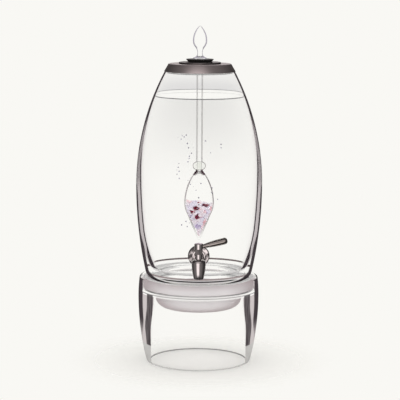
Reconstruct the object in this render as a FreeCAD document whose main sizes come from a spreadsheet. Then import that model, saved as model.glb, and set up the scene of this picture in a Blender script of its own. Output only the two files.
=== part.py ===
"""Glass water dispenser: a jar with a tap on a glass stand, a steel lid and a hanging stone vial.

Millimetres. The origin lies on the jar's axis at the table, +Z up, the tap towards -Y and its
lever towards +X. Every size stands in the sheet, and each piece takes its sizes from there.
"""
import FreeCAD
import Part
import Sketcher
import math
import operator
import os

V = FreeCAD.Vector

# Driving sizes: name, value, meaning

SIZES = [
    ("stand_height", 152.0, "table to the top of the stand's rim"),
    ("stand_foot_wall", 6.8, "wall of the stand at the table"),
    ("stand_belly_radius", 105.9, "outside of the stand at its widest"),
    ("stand_belly_height", 117.0, "height of the widest place"),
    ("stand_rim_inset", 2.3, "inset of the rim's outside, before rounding, from the widest place"),
    ("stand_rim_wall", 5.2, "wall of the rim outside the cradle"),
    ("stand_rim_round", 4.0, "outer rounding of the rim"),
    ("stand_edge_round", 1.0, "inner rounding of the rim"),
    ("stand_foot_round", 2.4, "fire-polished rounding of the foot"),
    ("stand_bore_widening", 4.7, "lower part of the bore, wider than the ledge's edge by"),
    ("stand_bore_height", 60.0, "height where the inside starts to draw in"),
    ("ledge_height", 129.0, "top of the stand's inner ledge"),
    ("ledge_width", 18.9, "width of the ledge"),
    ("ledge_nose", 17.0, "straight depth of the ledge's inner edge"),
    ("ledge_round", 3.0, "rounding of the ledge's inner edge"),
    ("cradle_seal_height", 3.0, "thickness of the ring under the cradle"),
    ("cradle_seal_inset", 2.0, "inset of that ring from the ledge's two sides"),
    ("cradle_gap", 0.4, "gap between cradle and stand"),
    ("cradle_flange", 13.5, "thickness of the cradle's flange"),
    ("cradle_rim_rise", 5.0, "rise of the cradle's rim over its step"),
    ("cradle_rim_wall", 9.5, "width of the cradle's rim"),
    ("bowl_inset", 3.5, "gap between the bowl and the ledge's edge"),
    ("bowl_wall", 6.0, "wall of the bowl"),
    ("bowl_depth", 35.5, "depth of the bowl under the flange"),
    ("bowl_corner", 20.0, "outer corner radius of the bowl"),
    ("cradle_round", 1.2, "rounding of the cradle's edges"),
    ("jar_ring_height", 1.5, "thickness of the ring under the jar"),
    ("jar_ring_width", 3.6, "width of that ring"),
    ("jar_height", 363.0, "height of the jar"),
    ("jar_foot_overhang", 1.9, "jar's foot, before rounding, wider than the cradle's recess by"),
    ("jar_heel_round", 18.0, "rounding of the jar's heel"),
    ("jar_belly_radius", 110.1, "outside of the jar at its widest"),
    ("jar_belly_rise", 165.0, "height of the widest place over the jar's bottom"),
    ("jar_mouth_radius", 61.2, "outside of the jar's mouth"),
    ("jar_rim", 3.2, "wall at the mouth"),
    ("jar_rim_round", 0.9, "rounding of the mouth's edges"),
    ("jar_wall", 8.5, "jar's greatest outer radius less its greatest inner radius"),
    ("jar_inner_rise", 188.0, "height of that place over the jar's bottom"),
    ("jar_low_wall", 9.68, "wall of the jar where it starts to thicken"),
    ("jar_low_rise", 91.0, "height of that place over the jar's bottom"),
    ("jar_heel_wall", 14.4, "wall of the jar at its floor, before rounding"),
    ("jar_floor", 16.0, "thickness of the jar's floor"),
    ("jar_floor_round", 16.0, "rounding between wall and floor"),
    ("punt_inset", 4.8, "inset of the hollow under the jar from the jar's ring"),
    ("punt_depth", 3.0, "depth of the hollow under the jar"),
    ("tap_rise", 57.5, "height of the tap's shank over the jar's bottom"),
    ("shank_radius", 8.0, "outside of the shank"),
    ("shank_gap", 0.6, "gap between shank and jar, all round"),
    ("shank_bore", 3.6, "radius of the water way in the shank"),
    ("shank_tail", 3.0, "length of shank that stands out of its nut"),
    ("outer_gasket_radius", 17.0, "outside of the outer gasket"),
    ("outer_gasket_least", 1.0, "outer gasket where it is thinnest"),
    ("inner_gasket_radius", 13.0, "outside of the inner gasket"),
    ("ring_gap", 0.3, "gap between shank and the rings on it"),
    ("rosette_radius", 18.4, "outside of the rosette"),
    ("rosette_thickness", 3.0, "thickness of the rosette"),
    ("rosette_round", 1.8, "front rounding of the rosette"),
    ("washer_radius", 12.5, "outside of the shank washer"),
    ("washer_thickness", 1.5, "thickness of the shank washer"),
    ("shank_nut_flats", 22.0, "width of the shank nut across its flats"),
    ("shank_nut_height", 7.0, "height of the shank nut"),
    ("nut_chamfer", 0.8, "chamfer of the nuts"),
    ("tap_reach", 24.5, "rosette's face to the tap's upright axis"),
    ("collar_radius", 11.0, "collar of the tap that lies on the rosette"),
    ("collar_thickness", 2.8, "thickness of that collar"),
    ("arm_root_radius", 8.4, "tap's arm at the collar"),
    ("arm_neck_radius", 6.2, "tap's arm at the barrel"),
    ("spout_drop", 35.1, "shank's axis to the mouth of the spout"),
    ("spout_radius", 8.2, "outside of the spout's mouth"),
    ("spout_mouth_bore", 6.4, "inside of the spout's mouth"),
    ("spout_mouth_depth", 13.0, "depth of the wide part of the spout"),
    ("spout_bore", 3.2, "radius of the water way above the mouth"),
    ("spout_edge_round", 0.7, "rounding of the spout's mouth"),
    ("shoulder_radius", 11.9, "tap's body at its widest"),
    ("shoulder_drop", 7.2, "shank's axis to the widest place"),
    ("shoulder_top", 0.8, "shank's axis to the top of the shoulder"),
    ("barrel_radius", 6.4, "outside of the barrel"),
    ("barrel_rise", 7.5, "shank's axis to the seat of the packing nut"),
    ("spigot_radius", 5.2, "threaded end of the barrel"),
    ("spigot_rise", 12.0, "shank's axis to the end of the barrel"),
    ("packing_nut_flats", 12.8, "width of the packing nut across its flats"),
    ("packing_nut_top", 15.5, "shank's axis to the top of the packing nut"),
    ("packing_nut_roof", 3.2, "thickness of the packing nut's top"),
    ("plug_radius", 4.0, "outside of the valve plug"),
    ("plug_gap", 0.05, "running gap round the valve plug"),
    ("plug_drop", 7.6, "shank's axis to the plug's lower end"),
    ("plug_floor_gap", 0.4, "gap under the valve plug"),
    ("plug_rise", 11.7, "shank's axis to the plug's shoulder"),
    ("port_radius", 2.2, "radius of the plug's port"),
    ("stem_radius", 2.6, "outside of the plug's stem"),
    ("stem_gap", 0.3, "gap between stem and packing nut"),
    ("stem_rise", 22.0, "shank's axis to the top of the stem"),
    ("ring_groove_play", 0.3, "play of the O-rings along their grooves"),
    ("low_groove_rise", 3.6, "shank's axis to the lower groove"),
    ("groove_pitch", 3.8, "distance between the grooves"),
    ("cord_radius", 0.55, "thickness radius of the O-rings"),
    ("cap_gap", 0.3, "gap between cap and packing nut"),
    ("cap_radius", 7.5, "outside of the cap"),
    ("cap_height", 9.7, "height of the cap"),
    ("cap_round", 1.0, "rounding of the cap's top"),
    ("fit_gap", 0.05, "gap of a pushed fit"),
    ("lever_rise", 14.5, "degrees that the lever climbs"),
    ("lever_height", 3.2, "cap's lower face to the lever's line on the axis"),
    ("lever_reach", 49.5, "tap's axis to the lever's tip"),
    ("lever_root_radius", 3.3, "lever at the cap"),
    ("lever_radius", 5.6, "lever at its thickest"),
    ("lever_swell", 38.0, "tap's axis to the lever's thickest place"),
    ("lever_socket", 5.6, "tap's axis to the lever's seat in the cap"),
    ("lever_neck", 1.0, "straight part of the lever outside the cap"),
    ("lever_stud_radius", 1.6, "stud of the lever"),
    ("lever_stud_length", 2.4, "length of the stud"),
    ("lever_end_round", 4.6, "rounding of the lever's tip"),
    ("grub_radius", 1.5, "outside of the cap's grub screw"),
    ("grub_length", 3.6, "length of the grub screw"),
    ("grub_height", 5.2, "cap's lower face to the grub screw"),
    ("grub_hex", 1.5, "hexagon of the grub screw across its flats"),
    ("lid_sheet", 1.2, "thickness of the lid's sheet"),
    ("lid_gap", 0.3, "gap between jar and lid"),
    ("lid_rise", 13.7, "lid's lower edge to its top"),
    ("lid_overhang", 1.0, "overhang of the lid's lower edge over the jar's mouth"),
    ("lid_taper", 7.9, "inset of the lid's top, before rounding, from its lower edge"),
    ("lid_round", 2.0, "rounding of the lid's top edge"),
    ("lid_hole_radius", 28.0, "opening in the lid"),
    ("collar_ring_inset", 7.0, "inset of the collar under the lid from the jar's mouth"),
    ("collar_ring_sheet", 1.0, "thickness of the collar's sheet"),
    ("collar_ring_flange", 4.0, "width of the collar's welded flange"),
    ("seal_flange_inset", 4.2, "inset of the lid seal's flange from the lid's lower edge"),
    ("seal_flange_height", 1.6, "thickness of the lid seal's flange"),
    ("seal_lip_gap", 0.8, "gap between the lid seal's lip and the jar's mouth"),
    ("seal_lip_wall", 2.2, "thickness of the lip"),
    ("seal_lip_depth", 3.0, "depth of the lip in the jar's mouth"),
    ("flange_overlap", 8.5, "overlap of the vial's flange over the lid's opening"),
    ("flange_thickness", 2.8, "thickness of the vial's flange"),
    ("flange_round", 1.3, "rounding of the flange's edge"),
    ("flange_collar_gap", 0.6, "gap between the flange's collar and the lid's opening"),
    ("flange_collar_wall", 1.6, "wall of the flange's collar"),
    ("flange_collar_depth", 6.5, "depth of the flange's collar"),
    ("stopper_plug_radius", 18.0, "stopper inside the flange"),
    ("stopper_plug_depth", 6.0, "depth of the stopper under the flange's face"),
    ("stopper_step", 2.1, "step of the stopper on the flange"),
    ("stopper_flare", 4.4, "flare of the stopper from there to its top"),
    ("stopper_rise", 5.2, "rise of the stopper over the flange"),
    ("tube_radius", 5.4, "outside of the vial's tube"),
    ("tube_wall", 1.6, "wall of the vial"),
    ("bead_swell", 5.9, "bead, thicker than the tube by"),
    ("bead_half", 7.0, "half of the bead's height"),
    ("bulb_neck_height", 336.0, "height of the neck over the bulb"),
    ("bulb_neck_swell", 1.2, "that neck, thicker than the tube by"),
    ("bead_rise", 9.4, "that neck to the middle of the bead"),
    ("bulb_height", 280.0, "height of the bulb's widest place"),
    ("bulb_radius", 25.9, "outside of the bulb at its widest"),
    ("bulb_turn_drop", 13.7, "widest place to the start of the bulb's cone"),
    ("bulb_turn_inset", 2.6, "inset of the cone's start from the widest place"),
    ("bulb_tip_height", 215.5, "height of the bulb's tip"),
    ("bulb_tip_radius", 1.4, "blunt end of the bulb's tip"),
    ("bulb_tip_wall", 4.0, "glass between the tip and the bulb's inside"),
    ("stone_fill_rise", 1.0, "bulb's widest place to the top of the stones"),
    ("stone_pitch", 7.6, "distance between stones"),
    ("stone_gap", 0.3, "gap between stones, and between stones and glass"),
    ("stone_least", 60.0, "least volume of a stone"),
    ("stone_fill_slope", 0.16, "fall of the stones' top towards the lever's side"),
    ("finial_foot_radius", 11.4, "foot of the finial"),
    ("finial_foot_height", 2.4, "thickness of the finial's foot"),
    ("finial_neck_radius", 4.4, "neck of the finial"),
    ("finial_neck_rise", 10.0, "foot to the neck of the finial"),
    ("finial_belly_radius", 12.3, "finial at its widest"),
    ("finial_belly_rise", 31.6, "foot to the widest place"),
    ("finial_height", 57.2, "foot to the tip of the finial"),
    ("finial_tip_radius", 1.0, "blunt tip of the finial"),
    ("finial_stub_depth", 14.0, "stub of the finial inside the tube"),
    ("cut_margin", 1.0, "how far a cut runs out past the surface"),
]

SIGNS = {"+": operator.add, "-": operator.sub, "*": operator.mul, "/": operator.truediv}


class Size:
    """A number together with the sheet's expression that gives it."""

    def __init__(self, value, text=None):
        self.value = float(value)
        self.text = text or repr(float(value))

    def joined(self, sign, other, turned=False):
        other = other if isinstance(other, Size) else Size(other)
        left, right = (other, self) if turned else (self, other)
        value = SIGNS[sign](left.value, right.value)
        return Size(value, f"({left.text} {sign} {right.text})")

    def __add__(self, other):
        return self.joined("+", other)

    def __radd__(self, other):
        return self.joined("+", other, turned=True)

    def __sub__(self, other):
        return self.joined("-", other)

    def __rsub__(self, other):
        return self.joined("-", other, turned=True)

    def __mul__(self, other):
        return self.joined("*", other)

    def __rmul__(self, other):
        return self.joined("*", other, turned=True)

    def __truediv__(self, other):
        return self.joined("/", other)

    def root(self):
        return Size(math.sqrt(self.value), f"sqrt({self.text})")


def square(size):
    return size * size


def bow(length, depth):
    """Radius of an arc that starts square to a line and leaves it by depth over length."""
    return (square(length) + square(depth)) / (2 * depth)


doc = FreeCAD.newDocument("WaterDispenser")
sheet = doc.addObject("Spreadsheet::Sheet", "Sizes")
size = {}
for row, (alias, number, meaning) in enumerate(SIZES, start=1):
    sheet.set(f"A{row}", alias)
    sheet.set(f"B{row}", str(number))
    sheet.set(f"C{row}", meaning)
    sheet.setAlias(f"B{row}", alias)
    size[alias] = Size(number, f"Sizes.{alias}")
doc.recompute()


def follow(alias, value, meaning):
    """Enter a size that follows from others in the sheet, under a name of its own."""
    row = len(size) + 1
    sheet.set(f"A{row}", alias)
    sheet.set(f"B{row}", "=" + value.text.replace("Sizes.", ""))
    sheet.set(f"C{row}", meaning)
    sheet.setAlias(f"B{row}", alias)
    size[alias] = Size(value.value, f"Sizes.{alias}")
    return size[alias]


ZERO = Size(0.0, "0")
START, END, CENTRE = range(1, 4)
ROOT_POINT = (-1, 1)
SAME = 1e-4


class Outline:
    """A closed outline in a sketch of a body, drawn from point to point."""

    def __init__(self, body, name, plane="XZ_Plane"):
        self.sketch = body.newObject("Sketcher::SketchObject", name)
        support = [each for each in body.Origin.OriginFeatures if each.Role == plane][0]
        self.sketch.AttachmentSupport = [(support, "")]
        self.sketch.MapMode = "FlatFace"
        self.corners = []
        self.bends = []

    def line(self, *corner):
        """Add a corner, reached by a straight line."""
        self.corners.append([each if isinstance(each, Size) else Size(each) for each in corner])
        self.bends.append(None)
        return self

    def arc(self, across, along, radius, side):
        """Add a corner, reached by an arc whose centre lies left (1) or right (-1) of its way."""
        self.line(across, along)
        self.bends[-1] = (radius, side)
        return self

    def draw(self):
        """Write the outline's lines, arcs and sizes into the sketch."""
        ends = []
        for index, (bend, target) in enumerate(zip(self.bends, self.corners)):
            origin = self.corners[index - 1]
            start = V(origin[0].value, origin[1].value, 0)
            end = V(target[0].value, target[1].value, 0)
            if bend is None:
                piece = self.sketch.addGeometry(Part.LineSegment(start, end), False)
                ends.append((piece, START, END))
                continue
            radius, side = bend
            chord = end - start
            normal = V(-chord.y, chord.x, 0).normalize() * side
            reach = math.sqrt(max(radius.value**2 - chord.Length**2 / 4, 0.0))
            middle = (start + end) / 2 + normal * reach
            first, last = (start, end) if side > 0 else (end, start)
            low = math.atan2(first.y - middle.y, first.x - middle.x)
            high = math.atan2(last.y - middle.y, last.x - middle.x)
            high += 2 * math.pi if high < low else 0.0
            circle = Part.Circle(middle, V(0, 0, 1), radius.value)
            piece = self.sketch.addGeometry(Part.ArcOfCircle(circle, low, high), False)
            ends.append((piece, START, END) if side > 0 else (piece, END, START))
        for index, (piece, begin, finish) in enumerate(ends):
            before, _, before_end = ends[index - 1]
            self.sketch.addConstraint(
                Sketcher.Constraint("Coincident", before, before_end, piece, begin)
            )
            self.fix(piece, begin, self.corners[index - 1])
            if self.bends[index]:
                radius = self.bends[index][0]
                mark = Sketcher.Constraint("Radius", piece, radius.value)
                self.bind(mark, radius.text)
        doc.recompute()
        if self.sketch.solve():
            raise RuntimeError(f"{self.sketch.Label} can't be solved")
        return self

    def fix(self, piece, end, corner):
        """Tie one end of a line or arc to the two sizes of its corner."""
        for kind, axis, value in zip(("DistanceX", "DistanceY"), (-2, -1), corner):
            if abs(value.value) < SAME:
                self.sketch.addConstraint(Sketcher.Constraint("PointOnObject", piece, end, axis))
            elif value.value > 0:
                mark = Sketcher.Constraint(kind, *ROOT_POINT, piece, end, value.value)
                self.bind(mark, value.text)
            else:
                mark = Sketcher.Constraint(kind, piece, end, *ROOT_POINT, -value.value)
                self.bind(mark, f"-({value.text})")

    def bind(self, mark, text):
        index = self.sketch.addConstraint(mark)
        self.sketch.setExpression(f"Constraints[{index}]", text)


def new_body(label, out=None, up=None):
    """Make the body of one sub-part, placed out towards -Y and up by two sizes."""
    body = doc.addObject("PartDesign::Body", label)
    body.Label = label
    if out is not None:
        body.Placement = FreeCAD.Placement(V(0, -out.value, up.value), FreeCAD.Rotation())
        body.setExpression(".Placement.Base.y", f"-({out.text})")
        body.setExpression(".Placement.Base.z", up.text)
    return body


def add(body, kind, name, **settings):
    """Add a feature to a body and make it the body's tip."""
    feature = body.newObject(f"PartDesign::{kind}", name)
    for key, value in settings.items():
        if isinstance(value, Size):
            setattr(feature, key, value.value)
            feature.setExpression(key, value.text)
        else:
            setattr(feature, key, value)
    body.Tip = feature
    return feature


def turn(body, outline, name, axis="V_Axis", cut=False):
    """Turn an outline full circle round an axis of its sketch."""
    sketch = outline.draw().sketch
    kind = "Groove" if cut else "Revolution"
    add(body, kind, name, Profile=(sketch, [""]), ReferenceAxis=(sketch, [axis]), Angle=360.0)
    doc.recompute()


def soften(body, name, radius, *rings):
    """Round the ring edges of a turned body, each given by radius and height."""
    doc.recompute()
    base = body.Tip
    chosen = []
    for ring_radius, height in rings:
        for index, edge in enumerate(base.Shape.Edges, start=1):
            curve = None if edge.Degenerated else edge.Curve
            if not isinstance(curve, Part.Circle):
                continue
            if abs(curve.Radius - as_number(ring_radius)) > 0.01:
                continue
            if abs(curve.Center.z - as_number(height)) < 0.01:
                chosen.append(f"Edge{index}")
    if len(chosen) < len(rings):
        raise RuntimeError(f"{name} finds too few edges")
    add(body, "Fillet", name, Base=(base, chosen), Radius=radius)
    doc.recompute()


def as_number(value):
    return value.value if isinstance(value, Size) else float(value)


def ring_sketch(body, name, height, radii, offset=None, plane="XZ_Plane"):
    """Draw circles round a point on the sketch's upright axis, on a plane set off by a size."""
    sketch = body.newObject("Sketcher::SketchObject", name)
    support = [each for each in body.Origin.OriginFeatures if each.Role == plane][0]
    sketch.AttachmentSupport = [(support, "")]
    sketch.MapMode = "FlatFace"
    if offset is not None:
        sketch.AttachmentOffset = FreeCAD.Placement(V(0, 0, offset.value), FreeCAD.Rotation())
        sketch.setExpression(".AttachmentOffset.Base.z", offset.text)
    for radius in radii:
        circle = Part.Circle(V(0, height.value, 0), V(0, 0, 1), radius.value)
        piece = sketch.addGeometry(circle, False)
        mark = sketch.addConstraint(Sketcher.Constraint("Radius", piece, radius.value))
        sketch.setExpression(f"Constraints[{mark}]", radius.text)
        sketch.addConstraint(Sketcher.Constraint("PointOnObject", piece, CENTRE, -2))
        if height is ZERO:
            sketch.addConstraint(Sketcher.Constraint("PointOnObject", piece, CENTRE, -1))
            continue
        rise = Sketcher.Constraint("DistanceY", *ROOT_POINT, piece, CENTRE, height.value)
        mark = sketch.addConstraint(rise)
        sketch.setExpression(f"Constraints[{mark}]", height.text)
    doc.recompute()
    return sketch


def hexagon_sketch(body, name, flats, plane="XY_Plane"):
    """Draw a hexagon round the origin, given by its width across flats."""
    sketch = body.newObject("Sketcher::SketchObject", name)
    support = [each for each in body.Origin.OriginFeatures if each.Role == plane][0]
    sketch.AttachmentSupport = [(support, "")]
    sketch.MapMode = "FlatFace"
    reach = flats / Size(3.0).root()
    tips = [V(math.cos(a), math.sin(a), 0) * reach.value for a in hexagon_angles()]
    guide = sketch.addGeometry(Part.Circle(V(0, 0, 0), V(0, 0, 1), reach.value), True)
    sketch.addConstraint(Sketcher.Constraint("Coincident", guide, CENTRE, *ROOT_POINT))
    mark = sketch.addConstraint(Sketcher.Constraint("Radius", guide, reach.value))
    sketch.setExpression(f"Constraints[{mark}]", reach.text)
    sides = []
    for index, tip in enumerate(tips):
        sides.append(sketch.addGeometry(Part.LineSegment(tips[index - 1], tip), False))
    for index, side in enumerate(sides):
        before = sides[index - 1]
        sketch.addConstraint(Sketcher.Constraint("Coincident", before, END, side, START))
        sketch.addConstraint(Sketcher.Constraint("PointOnObject", side, START, guide))
        if index:
            sketch.addConstraint(Sketcher.Constraint("Equal", sides[0], side))
    sketch.addConstraint(Sketcher.Constraint("PointOnObject", sides[1], START, -1))
    doc.recompute()
    return sketch


def hexagon_angles():
    return [math.radians(60 * index) for index in range(6)]


# Sizes that follow from others: what fits or seats goes along with its neighbour

follow(
    "stand_rim_radius",
    size["stand_belly_radius"] - size["stand_rim_inset"],
    "outside of the stand's rim, before rounding",
)
follow("recess_radius", size["stand_rim_radius"] - size["stand_rim_wall"], "inside of the rim")
follow("cradle_radius", size["recess_radius"] - size["cradle_gap"], "outside of the cradle")
follow("ledge_radius", size["recess_radius"] - size["ledge_width"], "inner edge of the ledge")
follow("stand_bore_radius", size["ledge_radius"] + size["stand_bore_widening"], "lower bore")
follow("stand_foot_radius", size["stand_bore_radius"] + size["stand_foot_wall"], "stand's foot")
follow("cradle_recess_radius", size["cradle_radius"] - size["cradle_rim_wall"], "cradle's recess")
follow("bowl_radius", size["ledge_radius"] - size["bowl_inset"], "outside of the cradle's bowl")

follow("cradle_base", size["ledge_height"] + size["cradle_seal_height"], "under the flange")
follow("cradle_step", size["cradle_base"] + size["cradle_flange"], "cradle's seat for the jar")
follow("jar_base", size["cradle_step"] + size["jar_ring_height"], "jar's bottom")
follow("jar_top", size["jar_base"] + size["jar_height"], "jar's mouth")
follow("tap_height", size["jar_base"] + size["tap_rise"], "shank's axis")
follow("lid_base", size["jar_top"] + size["lid_gap"], "lid's lower edge")
follow("lid_top", size["lid_base"] + size["lid_rise"], "lid's top")
follow("flange_top", size["lid_top"] + size["flange_thickness"], "top of the vial's flange")
follow("finial_base", size["flange_top"] + size["stopper_rise"], "finial's foot")

jar_base, jar_top = size["jar_base"], size["jar_top"]
cradle_base, cradle_step = size["cradle_base"], size["cradle_step"]
lid_base, lid_top = size["lid_base"], size["lid_top"]
tap_height, flange_top, finial_base = size["tap_height"], size["flange_top"], size["finial_base"]
jar_belly_height = jar_base + size["jar_belly_rise"]
jar_inner_height = jar_base + size["jar_inner_rise"]
jar_low_height = jar_base + size["jar_low_rise"]
jar_floor_height = jar_base + size["jar_floor"]
jar_mouth_inner = size["jar_mouth_radius"] - size["jar_rim"]

follow(
    "jar_foot_radius",
    size["cradle_recess_radius"] + size["jar_foot_overhang"],
    "outside of the jar at its bottom, before rounding",
)
follow("jar_ring_radius", size["jar_foot_radius"] - size["jar_heel_round"], "jar's ring, outside")
follow(
    "punt_radius",
    size["jar_ring_radius"] - size["jar_ring_width"] - size["punt_inset"],
    "hollow under the jar",
)
follow(
    "jar_low_bow",
    bow(size["jar_belly_rise"], size["jar_belly_radius"] - size["jar_foot_radius"]),
    "outer arc under the widest place",
)
follow(
    "jar_high_bow",
    bow(
        size["jar_height"] - size["jar_belly_rise"],
        size["jar_belly_radius"] - size["jar_mouth_radius"],
    ),
    "outer arc over the widest place",
)


def jar_outside(rise):
    """Outside radius of the jar's lower wall at a rise over the jar's bottom."""
    dip = size["jar_belly_rise"] - rise
    bend = size["jar_low_bow"]
    return size["jar_belly_radius"] - bend + (square(bend) - square(dip)).root()


follow("jar_inner_radius", size["jar_belly_radius"] - size["jar_wall"], "widest inside")
follow(
    "jar_low_radius",
    jar_outside(size["jar_low_rise"]) - size["jar_low_wall"],
    "inside of the jar where the wall starts to thicken",
)
follow("jar_floor_radius", size["jar_foot_radius"] - size["jar_heel_wall"], "inside at the floor")
follow(
    "jar_inner_bow",
    bow(
        size["jar_inner_rise"] - size["jar_low_rise"],
        size["jar_inner_radius"] - size["jar_low_radius"],
    ),
    "inner arc under the widest place",
)
follow(
    "jar_neck_bow",
    bow(
        size["jar_height"] - size["jar_inner_rise"],
        size["jar_inner_radius"] - jar_mouth_inner,
    ),
    "inner arc over the widest place",
)


def heel_bow():
    """Radius of the inner arc down to the floor that follows on smoothly from the wall."""
    fall = size["jar_low_rise"] - size["jar_floor"]
    inset = size["jar_low_radius"] - size["jar_floor_radius"]
    sine = (size["jar_inner_rise"] - size["jar_low_rise"]) / size["jar_inner_bow"]
    cosine = (1 - square(sine)).root()
    return (square(fall) + square(inset)) / (2 * (inset * cosine - fall * sine))


def jar_chord(rise):
    """Radius of the straight line between the ends of the jar's inner lower arc."""
    share = (rise - size["jar_floor"]) / (size["jar_low_rise"] - size["jar_floor"])
    return size["jar_floor_radius"] + (size["jar_low_radius"] - size["jar_floor_radius"]) * share


follow("jar_heel_bow", heel_bow(), "inner arc down to the floor")
follow(
    "outer_gasket_face",
    jar_outside(size["tap_rise"] + size["outer_gasket_radius"]) + size["outer_gasket_least"],
    "jar's axis to the front of the outer gasket",
)
follow("rosette_face", size["outer_gasket_face"] + size["rosette_thickness"], "rosette's front")
follow("tap_axis", size["rosette_face"] + size["tap_reach"], "tap's upright axis")
follow(
    "inner_gasket_face",
    jar_chord(size["tap_rise"] - size["inner_gasket_radius"]),
    "jar's axis to the flat side of the inner gasket",
)
outer_gasket_face, rosette_face = size["outer_gasket_face"], size["rosette_face"]
tap_axis, inner_gasket_face = size["tap_axis"], size["inner_gasket_face"]
washer_face = inner_gasket_face - size["washer_thickness"]
shank_nut_face = washer_face - size["shank_nut_height"]
shank_end = shank_nut_face - size["shank_tail"]
ring_hole = size["shank_radius"] + size["ring_gap"]
ring_groove_width = 2 * size["cord_radius"] + size["ring_groove_play"]
ring_groove_radius = size["plug_radius"] - 2 * size["cord_radius"] - size["fit_gap"]
cap_base = size["packing_nut_top"] + size["cap_gap"]

follow("lid_low_radius", size["jar_mouth_radius"] + size["lid_overhang"], "lid's lower edge")
follow("lid_top_radius", size["lid_low_radius"] - size["lid_taper"], "lid's top, not rounded")
follow("collar_ring_radius", jar_mouth_inner - size["collar_ring_inset"], "collar's outside")
follow("seal_flange_radius", size["lid_low_radius"] - size["seal_flange_inset"], "seal's flange")
follow("seal_lip_radius", jar_mouth_inner - size["seal_lip_gap"], "seal's lip")
follow("flange_radius", size["lid_hole_radius"] + size["flange_overlap"], "vial's flange")
follow("stopper_low_radius", size["stopper_plug_radius"] + size["stopper_step"], "stopper, low")
follow("stopper_top_radius", size["stopper_low_radius"] + size["stopper_flare"], "stopper, top")
follow("bead_height", size["bulb_neck_height"] + size["bead_rise"], "middle of the bead")
follow("bead_radius", size["tube_radius"] + size["bead_swell"], "outside of the bead")
follow("bulb_neck_radius", size["tube_radius"] + size["bulb_neck_swell"], "neck over the bulb")
follow("bulb_turn_height", size["bulb_height"] - size["bulb_turn_drop"], "start of the cone")
follow("bulb_turn_radius", size["bulb_radius"] - size["bulb_turn_inset"], "bulb at that place")
follow("bulb_inner_tip", size["bulb_tip_height"] + size["bulb_tip_wall"], "tip of the inside")
follow("stone_fill_height", size["bulb_height"] + size["stone_fill_rise"], "top of the stones")
doc.recompute()
for alias, value in size.items():
    if abs(sheet.get(alias) - value.value) > SAME:
        raise RuntimeError(f"the sheet gives {alias} as {sheet.get(alias)}, not {value.value}")


def make_stand():
    """Thick glass barrel: bulging outside, bored inside, with a ledge for the cradle."""
    body = new_body("stand")
    foot, belly = size["stand_foot_radius"], size["stand_belly_radius"]
    top, wide = size["stand_height"], size["stand_belly_height"]
    recess = size["recess_radius"]
    nose = size["ledge_height"] - size["ledge_nose"]
    widening = (size["stand_bore_radius"] - size["ledge_radius"]) / 2
    draw_in = (nose - size["stand_bore_height"]) / 2
    sweep = bow(draw_in, widening)
    outline = Outline(body, "stand_section")
    outline.line(size["stand_bore_radius"], ZERO)
    outline.line(foot, ZERO)
    outline.arc(belly, wide, bow(wide, belly - foot), 1)
    outline.arc(size["stand_rim_radius"], top, bow(top - wide, belly - size["stand_rim_radius"]), 1)
    outline.line(recess, top)
    outline.line(recess, size["ledge_height"])
    outline.line(size["ledge_radius"], size["ledge_height"])
    outline.line(size["ledge_radius"], nose)
    outline.arc(size["ledge_radius"] + widening, nose - draw_in, sweep, 1)
    outline.arc(size["stand_bore_radius"], size["stand_bore_height"], sweep, -1)
    turn(body, outline, "stand_turned")
    soften(body, "stand_rim", size["stand_rim_round"], (size["stand_rim_radius"], top))
    soften(body, "stand_rim_inside", size["stand_edge_round"], (recess, top))
    soften(
        body,
        "stand_ledge_edge",
        size["ledge_round"],
        (size["ledge_radius"], size["ledge_height"]),
    )
    soften(
        body,
        "stand_foot_edges",
        size["stand_foot_round"],
        (foot, ZERO),
        (size["stand_bore_radius"], ZERO),
    )


def make_cradle_seal():
    """Flat silicone ring on the stand's ledge."""
    body = new_body("cradle_seal")
    inner = size["ledge_radius"] + size["ledge_round"] + size["cradle_seal_inset"]
    outer = size["cradle_radius"] - size["cradle_seal_inset"]
    outline = Outline(body, "cradle_seal_section")
    outline.line(inner, size["ledge_height"]).line(outer, size["ledge_height"])
    outline.line(outer, cradle_base).line(inner, cradle_base)
    turn(body, outline, "cradle_seal_turned")


def make_cradle():
    """Satin glass dish: thick flange with a rim, and a bowl that hangs through the stand."""
    body = new_body("cradle")
    bowl_base = cradle_base - size["bowl_depth"]
    inside = size["bowl_radius"] - size["bowl_wall"]
    rim = cradle_step + size["cradle_rim_rise"]
    outline = Outline(body, "cradle_section")
    outline.line(ZERO, bowl_base).line(size["bowl_radius"], bowl_base)
    outline.line(size["bowl_radius"], cradle_base).line(size["cradle_radius"], cradle_base)
    outline.line(size["cradle_radius"], rim).line(size["cradle_recess_radius"], rim)
    outline.line(size["cradle_recess_radius"], cradle_step).line(inside, cradle_step)
    outline.line(inside, bowl_base + size["bowl_wall"]).line(ZERO, bowl_base + size["bowl_wall"])
    turn(body, outline, "cradle_turned")
    soften(body, "bowl_corner_outside", size["bowl_corner"], (size["bowl_radius"], bowl_base))
    soften(
        body,
        "bowl_corner_inside",
        size["bowl_corner"] - size["bowl_wall"],
        (inside, bowl_base + size["bowl_wall"]),
    )
    soften(
        body,
        "cradle_edges",
        size["cradle_round"],
        (size["cradle_radius"], rim),
        (size["cradle_recess_radius"], rim),
        (size["cradle_radius"], cradle_base),
        (inside, cradle_step),
    )


def make_jar_ring():
    """Thin silicone ring between the cradle's step and the jar."""
    body = new_body("jar_ring")
    outline = Outline(body, "jar_ring_section")
    outer = size["jar_ring_radius"]
    inner = outer - size["jar_ring_width"]
    outline.line(inner, cradle_step).line(outer, cradle_step)
    outline.line(outer, jar_base).line(inner, jar_base)
    turn(body, outline, "jar_ring_turned")


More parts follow.
